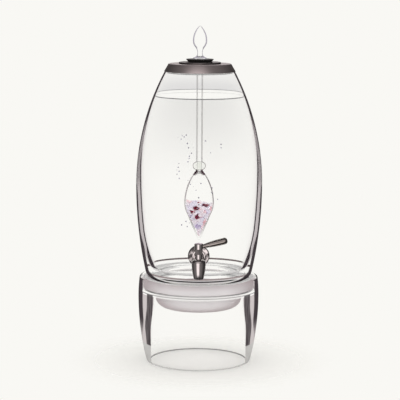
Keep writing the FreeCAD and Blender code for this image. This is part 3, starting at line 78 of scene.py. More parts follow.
class StandSizes(bpy.types.PropertyGroup):
    """The glass stand and the satin cradle that hangs in it."""

    height: length("Height", 152.0, "Table to the top of the rim")
    foot_radius: length("Foot radius", 91.0, "Outside at the table")
    belly_radius: length("Belly radius", 105.9, "Outside at the widest place")
    belly_height: length("Belly height", 117.0, "Height of the widest place")
    rim_radius: length("Rim radius", 103.6, "Outside at the rim")
    bore_radius: length("Bore radius", 84.2, "Inside of the lower part")
    bore_height: length("Bore height", 60.0, "Height where the inside draws in")
    ledge_height: length("Ledge height", 129.0, "Top of the inner ledge")
    ledge_radius: length("Ledge radius", 79.5, "Inner edge of the ledge")
    ledge_nose: length("Ledge nose", 17.0, "Straight depth of the ledge's edge")
    seal: length("Seal", 3.0, "Thickness of the ring under the cradle")
    cradle_radius: length("Cradle radius", 98.0, "Outside of the cradle's flange")
    cradle_gap: length("Cradle gap", 0.4, "Gap between cradle and stand")
    flange: length("Flange", 13.5, "Thickness of the cradle's flange")
    rim_rise: length("Rim rise", 5.0, "Rise of the cradle's rim over its step")
    recess_radius: length("Recess radius", 88.5, "Inside of the cradle's rim")
    bowl_radius: length("Bowl radius", 76.0, "Outside of the cradle's bowl")
    bowl_wall: length("Bowl wall", 6.0, "Wall of the bowl")
    bowl_depth: length("Bowl depth", 35.5, "Depth of the bowl under the flange")
    bowl_corner: length("Bowl corner", 20.0, "Outer corner radius of the bowl")


class JarSizes(bpy.types.PropertyGroup):
    """The glass jar and the water in it."""

    base: length("Base", 147.0, "Table to the jar's bottom")
    height: length("Height", 363.0, "Bottom to mouth")
    foot_radius: length("Foot radius", 90.4, "Outside at the bottom, before rounding")
    heel: length("Heel", 18.0, "Rounding of the heel")
    belly_radius: length("Belly radius", 110.1, "Outside at the widest place")
    belly_rise: length("Belly rise", 165.0, "Bottom to the widest place")
    mouth_radius: length("Mouth radius", 61.2, "Outside of the mouth")
    rim: length("Rim", 3.2, "Wall at the mouth")
    inner_radius: length("Inner radius", 101.6, "Inside at the widest place")
    inner_rise: length("Inner rise", 188.0, "Bottom to the widest place inside")
    low_radius: length("Low radius", 96.5, "Inside where the wall starts to thicken")
    low_rise: length("Low rise", 91.0, "Bottom to that place")
    floor_radius: length("Floor radius", 76.0, "Inside at the floor, before rounding")
    floor: length("Floor", 16.0, "Thickness of the floor")
    floor_round: length("Floor round", 16.0, "Rounding between wall and floor")
    punt_radius: length("Punt radius", 64.0, "Radius of the hollow under the jar")
    punt_depth: length("Punt depth", 3.0, "Depth of the hollow under the jar")
    hole_radius: length("Hole radius", 8.6, "Radius of the tap's hole")
    ring_width: length("Ring width", 3.6, "Width of the ring under the jar")
    ring_height: length("Ring height", 1.5, "Thickness of the ring under the jar")
    water_height: length("Water height", 466.0, "Table to the water's surface")
    water_gap: length("Water gap", 0.15, "Gap between water and glass in the model")
    meniscus: length("Meniscus", 3.0, "Rise of the water at the glass")


class TapSizes(bpy.types.PropertyGroup):
    """The tap, its valve and its lever."""

    rise: length("Rise", 57.5, "Jar's bottom to the shank")
    shank_radius: length("Shank radius", 8.0, "Outside of the shank")
    shank_bore: length("Shank bore", 3.6, "Water way in the shank")
    ring_gap: length("Ring gap", 0.3, "Gap between the shank and its rings")
    outer_gasket: length("Outer gasket", 17.0, "Radius of the outer gasket")
    gasket_least: length("Gasket least", 1.0, "Outer gasket where it is thinnest")
    inner_gasket: length("Inner gasket", 13.0, "Radius of the inner gasket")
    rosette_radius: length("Rosette radius", 18.4, "Outside of the rosette")
    rosette: length("Rosette", 3.0, "Thickness of the rosette")
    reach: length("Reach", 24.5, "Rosette to the tap's axis")
    washer_radius: length("Washer radius", 12.5, "Outside of the washer")
    washer: length("Washer", 1.5, "Thickness of the washer")
    nut_flats: length("Nut flats", 22.0, "Shank nut across its flats")
    nut: length("Nut", 7.0, "Height of the shank nut")
    tail: length("Tail", 3.0, "Shank that stands out of its nut")
    collar_radius: length("Collar radius", 11.0, "Collar on the rosette")
    collar: length("Collar", 2.8, "Thickness of the collar")
    arm_root: length("Arm root", 8.4, "Arm at the collar")
    arm_neck: length("Arm neck", 6.2, "Arm at the barrel")
    spout_drop: length("Spout drop", 35.1, "Shank to the spout's mouth")
    spout_radius: length("Spout radius", 8.2, "Outside of the spout's mouth")
    mouth_bore: length("Mouth bore", 6.4, "Inside of the spout's mouth")
    mouth_depth: length("Mouth depth", 13.0, "Depth of the wide part of the spout")
    spout_bore: length("Spout bore", 3.2, "Water way above the mouth")
    shoulder_radius: length("Shoulder radius", 11.9, "Body at its widest")
    shoulder_drop: length("Shoulder drop", 7.2, "Shank to the widest place")
    shoulder_top: length("Shoulder top", 0.8, "Shank to the top of the shoulder")
    barrel_radius: length("Barrel radius", 6.4, "Outside of the barrel")
    barrel_rise: length("Barrel rise", 7.5, "Shank to the packing nut's seat")
    spigot_radius: length("Spigot radius", 5.2, "Threaded end of the barrel")
    spigot_rise: length("Spigot rise", 12.0, "Shank to the end of the barrel")
    packing_flats: length("Packing flats", 12.8, "Packing nut across its flats")
    packing_top: length("Packing top", 15.5, "Shank to the packing nut's top")
    stem_radius: length("Stem radius", 2.6, "Outside of the plug's stem")
    stem_rise: length("Stem rise", 22.0, "Shank to the stem's top")
    plug_radius: length("Plug radius", 4.0, "Outside of the plug")
    plug_drop: length("Plug drop", 7.6, "Shank to the plug's lower end")
    plug_rise: length("Plug rise", 11.7, "Shank to the plug's shoulder")
    port_radius: length("Port radius", 2.2, "Port of the plug")
    cord_radius: length("Cord radius", 0.55, "Thickness radius of the O-rings")
    groove_rise: length("Groove rise", 3.6, "Shank to the lower groove")
    groove_pitch: length("Groove pitch", 3.8, "Distance between the grooves")
    cap_gap: length("Cap gap", 0.3, "Gap between cap and packing nut")
    cap_radius: length("Cap radius", 7.5, "Outside of the cap")
    cap_height: length("Cap height", 9.7, "Height of the cap")
    lever_tilt: number("Lever tilt", 14.5, "Degrees that the lever climbs")
    lever_height: length("Lever height", 3.2, "Cap's lower face to the lever's line")
    lever_seat: length("Lever seat", 5.6, "Axis to the lever's seat in the cap")
    lever_root: length("Lever root", 3.3, "Lever at the cap")
    lever_radius: length("Lever radius", 5.6, "Lever at its thickest")
    lever_swell: length("Lever swell", 38.0, "Axis to the thickest place")
    lever_reach: length("Lever reach", 49.5, "Axis to the lever's tip")
    lever_end: length("Lever end", 4.6, "Rounding of the tip")
    grub_radius: length("Grub radius", 1.5, "Outside of the grub screw")
    grub_length: length("Grub length", 3.6, "Length of the grub screw")
    grub_height: length("Grub height", 5.2, "Cap's lower face to the grub screw")
    grub_hex: length("Grub hexagon", 1.5, "Grub screw's socket across its flats")


class LidSizes(bpy.types.PropertyGroup):
    """The steel lid with its collar and seal."""

    gap: length("Gap", 0.3, "Gap between jar and lid")
    sheet: length("Sheet", 1.2, "Thickness of the sheet")
    rise: length("Rise", 13.7, "Lower edge to the top")
    low_radius: length("Low radius", 62.2, "Outside of the lower edge")
    top_radius: length("Top radius", 54.3, "Outside at the top, before rounding")
    edge: length("Edge", 2.0, "Rounding of the top edge")
    hole_radius: length("Hole radius", 28.0, "Opening in the lid")
    collar_radius: length("Collar radius", 51.0, "Outside of the collar")
    collar_sheet: length("Collar sheet", 1.0, "Thickness of the collar")
    collar_flange: length("Collar flange", 4.0, "Width of the collar's flange")
    seal_radius: length("Seal radius", 58.0, "Outside of the seal's flange")
    seal_height: length("Seal height", 1.6, "Thickness of the seal's flange")
    lip_radius: length("Lip radius", 57.2, "Outside of the seal's lip")
    lip_wall: length("Lip wall", 2.2, "Thickness of the lip")
    lip_depth: length("Lip depth", 3.0, "Depth of the lip")


class VialSizes(bpy.types.PropertyGroup):
    """The vial with its flange, stopper, finial and stones."""

    flange_radius: length("Flange radius", 36.5, "Outside of the flange")
    flange: length("Flange", 2.8, "Thickness of the flange")
    flange_edge: length("Flange edge", 1.3, "Rounding of the flange's edge")
    collar_gap: length("Collar gap", 0.6, "Gap between collar and opening")
    collar_wall: length("Collar wall", 1.6, "Wall of the collar")
    collar_depth: length("Collar depth", 6.5, "Depth of the collar")
    plug_radius: length("Plug radius", 18.0, "Stopper inside the flange")
    plug_depth: length("Plug depth", 6.0, "Depth of the stopper")
    stopper_low: length("Stopper low", 20.1, "Stopper on the flange")
    stopper_top: length("Stopper top", 24.5, "Stopper at its top")
    stopper_rise: length("Stopper rise", 5.2, "Rise of the stopper")
    tube_radius: length("Tube radius", 5.4, "Outside of the tube")
    wall: length("Wall", 1.6, "Wall of the vial")
    bead_height: length("Bead height", 345.4, "Middle of the bead")
    bead_radius: length("Bead radius", 11.3, "Outside of the bead")
    bead_half: length("Bead half", 7.0, "Half of the bead's height")
    neck_height: length("Neck height", 336.0, "Neck over the bulb")
    neck_radius: length("Neck radius", 6.6, "Outside of the neck")
    bulb_height: length("Bulb height", 280.0, "Widest place of the bulb")
    bulb_radius: length("Bulb radius", 25.9, "Outside of the bulb")
    turn_height: length("Turn height", 266.3, "Height where the cone starts")
    turn_radius: length("Turn radius", 23.3, "Outside of the bulb there")
    tip_height: length("Tip height", 215.5, "Height of the tip")
    tip_radius: length("Tip radius", 1.4, "Blunt end of the tip")
    finial_foot: length("Finial foot", 11.4, "Foot of the finial")
    finial_foot_height: length("Finial foot height", 2.4, "Thickness of the foot")
    finial_neck: length("Finial neck", 4.4, "Neck of the finial")
    finial_neck_rise: length("Finial neck rise", 10.0, "Foot to neck")
    finial_belly: length("Finial belly", 12.3, "Finial at its widest")
    finial_belly_rise: length("Finial belly rise", 31.6, "Foot to the widest place")
    finial_height: length("Finial height", 57.2, "Foot to the tip")
    finial_tip: length("Finial tip", 1.0, "Blunt tip")
    stub_depth: length("Stub depth", 14.0, "Stub inside the tube")
    stone_edge: length("Stone edge", 0.7, "Worn edge of the stones")
    bubble_radius: length("Bubble radius", 1.35, "Largest bubble")
    bubble_count: IntProperty(
        name="Bubbles", description="Bubbles in the water round the vial", default=46, min=0
    )


class Finishes(bpy.types.PropertyGroup):
    """Colours of glass, steel, silicone and stones, and of painted reflections, shade and light.
    """

    glass: colour("Glass", (1.0, 1.0, 1.0), "Clear glass")
    # Painted reflection: dark line where clear glass is seen along its surface
    painted_glass_line: colour("Glass edge", (0.055, 0.045, 0.05), "Clear glass seen along its surface")
    # Painted reflection: dark rings at the edge of the jar's floor
    painted_floor_ring: colour("Glass ring", (0.31, 0.25, 0.25), "Floor of the jar seen edge-on")
    # Painted reflection: the backdrop's white in the thick bottom and in the stand's ledge bands
    glass_body: colour("Glass body", (0.97, 0.96, 0.94), "Thick glass full of the backdrop")
    # Painted reflection: tones of the bands in the stand's thick wall
    painted_wall_band: colour("Stand wall", (0.56, 0.50, 0.505), "Thick wall of the stand")
    painted_low_band: colour("Stand low", (0.51, 0.50, 0.49), "Lower wall of the stand")
    # Painted reflection: the vial's dark lines and the painted shade of its neck
    painted_vial_line: colour("Vial edge", (0.085, 0.055, 0.065), "Vial seen along its surface")
    bead: colour("Bead", (0.86, 0.88, 0.84), "Bead of the vial")
    # Painted reflection: the finial's line
    painted_finial_line: colour("Finial edge", (0.40, 0.37, 0.44), "Finial seen along its surface")
    # Painted shade on the glass above the water
    painted_veil_shade: colour("Veil", (0.61, 0.61, 0.645), "Glass above the water")
    satin: colour("Satin glass", (0.98, 0.94, 0.94), "Satin glass of the cradle")
    # Painted shade on the satin glass, at its edges and under its rim
    painted_satin_shade: colour("Satin edge", (0.50, 0.42, 0.43), "Satin glass seen along its surface")
    silicone: colour("Silicone", (0.86, 0.86, 0.85), "Clear silicone")
    rubber: colour("Stopper", (0.012, 0.011, 0.011), "Black silicone")
    brushed: colour("Brushed steel", (0.50, 0.44, 0.44), "Lid")
    # Painted shade: a darker copy of the lid's brushed steel
    flange: colour("Flange steel", (0.16, 0.14, 0.14), "Flange that carries the vial")
    polished: colour("Polished steel", (0.62, 0.58, 0.57), "Tap")
    # Painted shade: a darker copy of the tap's polished steel
    lever: colour("Lever steel", (0.27, 0.245, 0.225), "Lever of the tap")
    rose: colour("Rose quartz", (0.92, 0.56, 0.58), "Pale pink stones")
    amethyst: colour("Amethyst", (0.50, 0.40, 0.62), "Violet stones")
    quartz: colour("Clear quartz", (0.90, 0.88, 0.95), "Colourless stones")
    garnet: colour("Garnet", (0.22, 0.012, 0.025), "Dark red stones")
    bubble: colour("Bubbles", (0.30, 0.28, 0.38), "Bubbles and specks")
    # Painted reflection: the meniscus's dark line and light rim
    waterline: colour("Water line", (0.10, 0.10, 0.11), "Meniscus seen through the glass")
    waterrim: colour("Water rim", (0.62, 0.62, 0.62), "Meniscus seen over the water")


class Studio(bpy.types.PropertyGroup):
    """Camera, backdrop, floor and light."""

    camera_distance: number("Camera distance", 2.9, "Camera to the jar's axis, in metres")
    camera_height: number("Camera height", 0.689, "Camera over the table, in metres")
    camera_pitch: number("Camera pitch", 7.9245, "Degrees that the camera looks down")
    camera_roll: number("Camera roll", 0.355, "Degrees of roll")
    lens: number("Lens", 150.4, "Focal length in millimetres")
    shift: number("Shift", 0.0023, "Sideways shift of the lens")
    paper: colour("Paper", (0.947, 0.939, 0.905), "Backdrop and floor")
    dusk: number("Dusk", 0.045, "What mirrors see of the dark part of the studio")
    band: number("Band", 0.50, "What the glass walls show of the studio behind them")


class Dispenser(bpy.types.PropertyGroup):
    """All settings of the dispenser."""

    stand: PointerProperty(type=StandSizes)
    jar: PointerProperty(type=JarSizes)
    tap: PointerProperty(type=TapSizes)
    lid: PointerProperty(type=LidSizes)
    vial: PointerProperty(type=VialSizes)
    finish: PointerProperty(type=Finishes)
    studio: PointerProperty(type=Studio)


def settings():
    return bpy.context.scene.dispenser


# Outlines turned round an axis

ROUND_STEPS = 7
FINE = 1e-6

# Gaps of pieces that fit or run in each other, and roundings of worked edges, in metres
FIT = 0.00005
RUNNING = 0.0003
BURR = 0.0002
CUT = 0.0003
BROKEN = 0.0004
SOFT = 0.0005
EASED = 0.0006
MOULDED = 0.0008
ROUNDED = 0.001
FIRED = 0.0012


def bow(run, depth):
    """Radius of an arc that starts square to a line and leaves it by depth over run."""
    return (run * run + depth * depth) / (2 * depth)


class Section:
    """An outline of radius and height, drawn from corner to corner."""

    def __init__(self, radius, height, rounding=0.0):
        self.points = [Vector((radius, height))]
        self.corners = [(0, rounding)]

    def line(self, radius, height, rounding=0.0):
        self.points.append(Vector((radius, height)))
        self.corners.append((len(self.points) - 1, rounding))
        return self

    def arc(self, radius, height, bend, side, rounding=0.0, *, steps):
        """Go on by an arc of a radius whose centre lies left (1) or right (-1) of the way."""
        start, end = self.points[-1], Vector((radius, height))
        chord = end - start
        normal = Vector((-chord.y, chord.x)).normalized() * side
        away = math.sqrt(max(bend**2 - chord.length_squared / 4, 0))
        middle = (start + end) / 2 + normal * away
        turn = 2 * math.asin(min(chord.length / (2 * bend), 1)) * side
        for index in range(1, steps):
            spoke = start - middle
            spoke.rotate(Matrix.Rotation(turn * index / steps, 2))
            self.points.append(middle + spoke)
        return self.line(radius, height, rounding)

    def outline(self):
        """The points with every rounded corner worked in."""
        count = len(self.points)
        cuts = {
            index: self.rounded(index, rounding)
            for index, rounding in self.corners
            if rounding > FINE
        }
        dropped = set()
        for corner, (before, after, _) in cuts.items():
            dropped.update((corner - step) % count for step in range(before + 1))
            dropped.update((corner + step) % count for step in range(after + 1))
        result = []
        for index in range(count):
            if index in cuts:
                result.extend(cuts[index][2])
            elif index not in dropped:
                result.append(self.points[index])
        return result

    def walk(self, index, step, distance):
        """The point at a distance along the outline, and how many points lie before it."""
        count = len(self.points)
        passed = 0
        place = self.points[index]
        while True:
            index = (index + step) % count
            leg = self.points[index] - place
            if leg.length >= distance:
                return place + leg.normalized() * distance, leg.normalized(), passed
            distance -= leg.length
            place = self.points[index]
            passed += 1

    def rounded(self, index, rounding):
        """The curve that rounds one corner, and the points it drops on both sides."""
        _, first, _ = self.walk(index, -1, FINE)
        _, second, _ = self.walk(index, 1, FINE)
        turn = math.pi - first.angle(second)
        reach = rounding * math.tan(turn / 2)
        start, back, before = self.walk(index, -1, reach)
        end, ahead, after = self.walk(index, 1, reach)
        turn = math.pi - back.angle(ahead)
        handle = 4 / 3 * math.tan(turn / 4) * rounding
        first, second = start - back * handle, end - ahead * handle
        curve = []
        for step in range(ROUND_STEPS + 1):
            t = step / ROUND_STEPS
            u = 1 - t
            curve.append(
                start * u**3 + first * 3 * t * u * u + second * 3 * t * t * u + end * t**3
            )
        return before, after, curve


def written(name, work):
    """The finished mesh of a bmesh."""
    mesh = bpy.data.meshes.new(name)
    work.to_mesh(mesh)
    work.free()
    return mesh


def angles(sides):
    return [2 * math.pi * side / sides for side in range(sides)]


def circle(work, radius, level, sides):
    """A ring of corners round the Z axis, or one corner where it lies on the axis."""
    if radius < FINE:
        return [work.verts.new((0, 0, level))]
    return [
        work.verts.new((radius * math.cos(angle), radius * math.sin(angle), level))
        for angle in angles(sides)
    ]


def bridge(work, low, high):
    """Faces between two rings, of which one may be a single corner."""
    sides = max(len(low), len(high))
    for side in range(sides if sides > 1 else 0):
        after = (side + 1) % sides
        if len(low) == 1:
            corners = (low[0], high[after], high[side])
        elif len(high) == 1:
            corners = (low[side], low[after], high[0])
        else:
            corners = (low[side], low[after], high[after], high[side])
        work.faces.new(corners)


def closed(name, work, rings):
    """Mesh of a closed run of rings, its faces turned outwards."""
    for low, high in zip(rings, rings[1:] + rings[:1]):
        bridge(work, low, high)
    work.normal_update()
    bmesh.ops.recalc_face_normals(work, faces=work.faces)
    return written(name, work)


def turned(name, section, sides=128):
    """Mesh of a section turned round the Z axis; it closes where it meets the axis."""
    points = section.outline() if isinstance(section, Section) else section
    work = bmesh.new()
    return closed(name, work, [circle(work, point.x, point.y, sides) for point in points])


def hoop(name, low_radius, high_radius, height, tall, sides=160):
    """Open band round the Z axis that faces outwards."""
    work = bmesh.new()
    low = circle(work, low_radius, height, sides)
    bridge(work, low, circle(work, high_radius, height + tall, sides))
    return written(name, work)


def smooth(mesh, degrees=32):
    """Shade a mesh smooth, with sharp edges kept."""
    mesh.shade_smooth()
    mesh.set_sharp_from_angle(angle=math.radians(degrees))
    return mesh


def place(name, mesh, material, body, matrix=None):
    """Make a mesh a piece of the scene that rides on a body."""
    if matrix is not None:
        mesh.transform(matrix)
    smooth(mesh)
    mesh.materials.append(material)
    piece = bpy.data.objects.new(name, mesh)
    bpy.context.scene.collection.objects.link(piece)
    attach(piece, body)
    return piece


def stand_in(name, mesh, look, body, node, matrix=None):
    """Place a piece that stands for a CAD node, with its finish, and hide the node."""
    piece = place(name, mesh, finish(look), body, matrix)
    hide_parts(node)


def merged(name, *meshes):
    """One mesh made of several."""
    work = bmesh.new()
    for mesh in meshes:
        work.from_mesh(mesh)
    return written(name, work)


def carved(mesh, *cutters):
    """A mesh with others taken away from it by exact booleans."""
    scene = bpy.context.scene
    work = bpy.data.objects.new("carving", mesh)
    scene.collection.objects.link(work)
    helpers = [work]
    for cutter in cutters:
        tool = bpy.data.objects.new("cutter", cutter)
        scene.collection.objects.link(tool)
        helpers.append(tool)
        change = work.modifiers.new("cut", "BOOLEAN")
        change.operation = "DIFFERENCE"
        change.solver = "EXACT"
        change.object = tool
    view = bpy.context.evaluated_depsgraph_get()
    result = bpy.data.meshes.new_from_object(work.evaluated_get(view))
    for helper in helpers:
        bpy.data.objects.remove(helper)
    return result


# How far a cutter reaches out of what it cuts
PAST = 0.001


def rod(radius, start, end, sides=64):
    """Plain cylinder along Z, used as a cutter."""
    section = Section(0, start).line(radius, start).line(radius, end).line(0, end)
    return turned("cutter", section, sides)


def flat_ring(inner, outer, low, high, rounding):
    """Section of a ring with four equal corners."""
    ring = Section(inner, low, rounding).line(outer, low, rounding)
    return ring.line(outer, high, rounding).line(inner, high, rounding)


def rotation(degrees, axis):
    return Matrix.Rotation(math.radians(degrees), 4, axis)


def shift(x, y, z):
    return Matrix.Translation((x, y, z))


# Materials

# Refraction, far lower than real glass so that the drawn lines stay where they are
BLOWN_IOR = 1.04
JAR_IOR = 1.08
WATER_IOR = 1.005


class Value:
    """A socket that can stand in an expression; each operation adds its Math node."""

    def __init__(self, nodes, socket):
        self.nodes = nodes
        self.socket = socket

    def work(self, operation, *inputs):
        node = self.nodes.add("ShaderNodeMath", {"operation": operation}, *inputs)
        return Value(self.nodes, node.outputs[0])

    def __add__(self, other):
        return self.work("ADD", self, other)

    def __radd__(self, other):
        return self.work("ADD", other, self)

    def __sub__(self, other):
        return self.work("SUBTRACT", self, other)

    def __rsub__(self, other):
        return self.work("SUBTRACT", other, self)

    def __mul__(self, other):
        return self.work("MULTIPLY", self, other)

    def __rmul__(self, other):
        return self.work("MULTIPLY", other, self)

    def __truediv__(self, other):
        return self.work("DIVIDE", self, other)

    def __pow__(self, other):
        return self.work("POWER", self, other)

    def __gt__(self, other):
        return self.work("GREATER_THAN", self, other)

    def __lt__(self, other):
        return self.work("LESS_THAN", self, other)

    def most(self, other):
        return self.work("MAXIMUM", self, other)

    def least(self, other):
        return self.work("MINIMUM", self, other)


class Nodes:
    """Writes the node tree of a new material or world."""

    def __init__(self, owner):
        owner.use_nodes = True
        self.owner = owner
        self.tree = owner.node_tree
        self.tree.nodes.clear()

    def add(self, kind, options=None, *inputs, **named):
        """Add a node: its settings first, then its inputs in order or by name."""
        node = self.tree.nodes.new(kind)
        for key, value in (options or {}).items():
            if key == "stops":
                self.set_stops(node.color_ramp, value)
            else:
                setattr(node, key, value)
        for socket, value in zip(node.inputs, inputs):
            self.feed(socket, value)
        for key, value in named.items():
            self.feed(node.inputs[key.replace("_", " ")], value)
        return node

    def set_stops(self, ramp, stops):
        """Give a ramp its greys: pairs of place and brightness."""
        while len(ramp.elements) < len(stops):
            ramp.elements.new(0.5)
        for element, (position, level) in zip(ramp.elements, sorted(stops)):
            element.position = position
            element.color = (level, level, level, 1)

    def feed(self, socket, value):
        """Link a socket or set its value; a colour gets its alpha."""
        if isinstance(value, Value):
            value = value.socket
        if isinstance(value, bpy.types.NodeSocket):
            self.tree.links.new(value, socket)
        elif value is not None:
            socket.default_value = (*value, 1.0) if socket.type == "RGBA" else value

    def read(self, kind, output, options=None, **named):
        """One output of a new node, ready for expressions."""
        return Value(self, self.add(kind, options, **named).outputs[output])

    def parts(self, vector):
        """The three numbers of a vector."""
        split = self.add("ShaderNodeSeparateXYZ", None, vector)
        return [Value(self, each) for each in split.outputs]

    def place(self):
        """The place on the object, in metres."""
        return self.read("ShaderNodeTexCoord", "Object")

    def normal(self):
        """East, north and upward parts of the surface's direction."""
        return self.parts(self.read("ShaderNodeNewGeometry", "Normal"))

    def facing(self):
        """0 where a surface is met squarely, 1 where it is met along itself."""
        return self.read("ShaderNodeLayerWeight", "Facing", Blend=0.5)

    def depth(self, kind):
        """How many Diffuse, Glossy or Transmission bounces the ray has behind it."""
        return self.read("ShaderNodeLightPath", f"{kind} Depth")

    def noise(self, spot, scale, detail=2.0):
        return self.read("ShaderNodeTexNoise", "Fac", Vector=spot, Scale=scale, Detail=detail)

    def ramp(self, value, *stops):
        """Grey ramp: pairs of place and brightness."""
        return self.read("ShaderNodeValToRGB", "Color", {"stops": stops}, Fac=value)

    def step(self, value, low, high):
        """0 below low, 1 above high, smooth between them."""
        options = {"interpolation_type": "SMOOTHSTEP"}
        node = self.add("ShaderNodeMapRange", options, value, low, high, 0.0, 1.0)
        return Value(self, node.outputs[0])

    def band(self, value, low, high, soft):
        """1 between low and high, fading to 0 outside them over a soft width."""
        return self.step(value, low - soft, low) * (1 - self.step(value, high, high + soft))

    def vector(self, x, y, z):
        return self.add("ShaderNodeCombineXYZ", None, x, y, z).outputs[0]

    def tinted(self, level, green, blue):
        """Grey of a level, its green and blue held back to a share."""
        node = self.add("ShaderNodeCombineColor", None, level, level * green, level * blue)
        return node.outputs[0]

    def blend(self, factor, first, second):
        """A colour between two colours."""
        mix = self.add("ShaderNodeMix", {"data_type": "RGBA", "clamp_factor": True})
        for index, value in ((0, factor), (6, first), (7, second)):
            self.feed(mix.inputs[index], value)
        return mix.outputs[2]

    def bump(self, height, strength, distance):
        options = {"Strength": strength, "Distance": distance, "Height": height}
        return self.add("ShaderNodeBump", None, **options).outputs[0]

    def principled(self, base, **sockets):
        return self.add("ShaderNodeBsdfPrincipled", None, base, **sockets)

    def glass(self, base, ior):
        return self.principled(base, Roughness=0.0, IOR=ior, Transmission_Weight=1.0)

    # A plain diffuse tone: the floor's paper, and the painted reflections, shade and light on the
    # glass
    def diffuse_tone(self, tone):
        return self.add("ShaderNodeBsdfDiffuse", None, Color=tone)

    def mixed(self, factor, first, second):
        """Two shaders, mixed by a factor."""
        shaders = (first.outputs[0], second.outputs[0])
        return self.add("ShaderNodeMixShader", None, factor, *shaders)

    def surface(self, shader, output="ShaderNodeOutputMaterial"):
        """Show a shader, and hand over the finished material or world."""
        self.add(output, None, shader.outputs[0])
        return self.owner


def new_material(name):
    """The node writer of a new material."""
    return Nodes(bpy.data.materials.new(name))


def off_axis(across, along):
    """Distance from the Z axis."""
    return (across * across + along * along) ** 0.5


def critical_facing(ior):
    """Facing value from which a surface turns all light back into the glass."""
    return 1 - math.sqrt(1 - 1 / ior**2)


def glass_start(name):
    """A glass material's writer, with how its surface is met and where."""
    nodes = new_material(name)
    facing = nodes.facing()
    inside = nodes.read("ShaderNodeNewGeometry", "Backfacing")
    seen = (nodes.depth("Diffuse") < 0.5) * (nodes.depth("Glossy") < 0.5)
    return nodes, facing, inside, seen, nodes.parts(nodes.place())


def finial_glass_material(name):
    """The finial's glass, with a soft painted reflection line where it is seen along its surface.
    """
    colours = settings().finish
    nodes, facing, _, seen, _ = glass_start(name)
    line = nodes.step(facing, 0.30, 0.65) * seen
    clear = nodes.glass(colours.glass, BLOWN_IOR)
    return nodes.surface(nodes.mixed(line, clear, nodes.diffuse_tone(colours.painted_finial_line)))


def vial_glass_material(name):
    """The vial's glass: painted grey lines along its sides, painted shade on its neck and on one
    side of its bulb, and a tinted bead.
    """
    colours, vial = settings().finish, settings().vial
    nodes, facing, _, seen, (_, _, height) = glass_start(name)
    east, _, _ = nodes.normal()
    bead_half, bead_soft = 0.006, 0.001
    bead_low, bead_high = vial.bead_height - bead_half, vial.bead_height + bead_half
    tint = nodes.band(height, bead_low, bead_high, bead_soft) * 0.5
    base = nodes.blend(tint, colours.glass, colours.bead)
    clear = nodes.glass(base, BLOWN_IOR)

    # Painted shade on the neck
    neck = nodes.band(height, vial.neck_height - 0.0050, vial.neck_height + 0.0010, 0.0025)
    neck = neck * nodes.step(facing, 0.10, 0.55)
    tube = nodes.step(height, bead_high, bead_high + 0.002)
    bulb = 1 - nodes.step(height, vial.neck_height, vial.neck_height + 0.002)
    # Painted shade: the bulb's lines stay dark on its east side high up, and fade elsewhere above
    # the tip
    dark_side = nodes.step(east, -0.3, 0.3) * nodes.step(height, 0.27, 0.32)
    over_tip = nodes.step(height, 0.238, 0.262)
    pale = bulb * (1 - dark_side) * 0.75 * over_tip
    side_line = nodes.step(facing, 0.62, 0.85)
    wide_line = nodes.step(facing, 0.50, 0.72) * (1 - bulb) * 0.6
    tube_line = nodes.step(facing, 0.40, 0.60) * tube * 0.45
    lines = side_line.most(wide_line).most(tube_line) * (1 - pale)
    diffuse_tone = nodes.diffuse_tone(colours.painted_vial_line)
    return nodes.surface(nodes.mixed(lines.most(neck) * seen, clear, diffuse_tone))


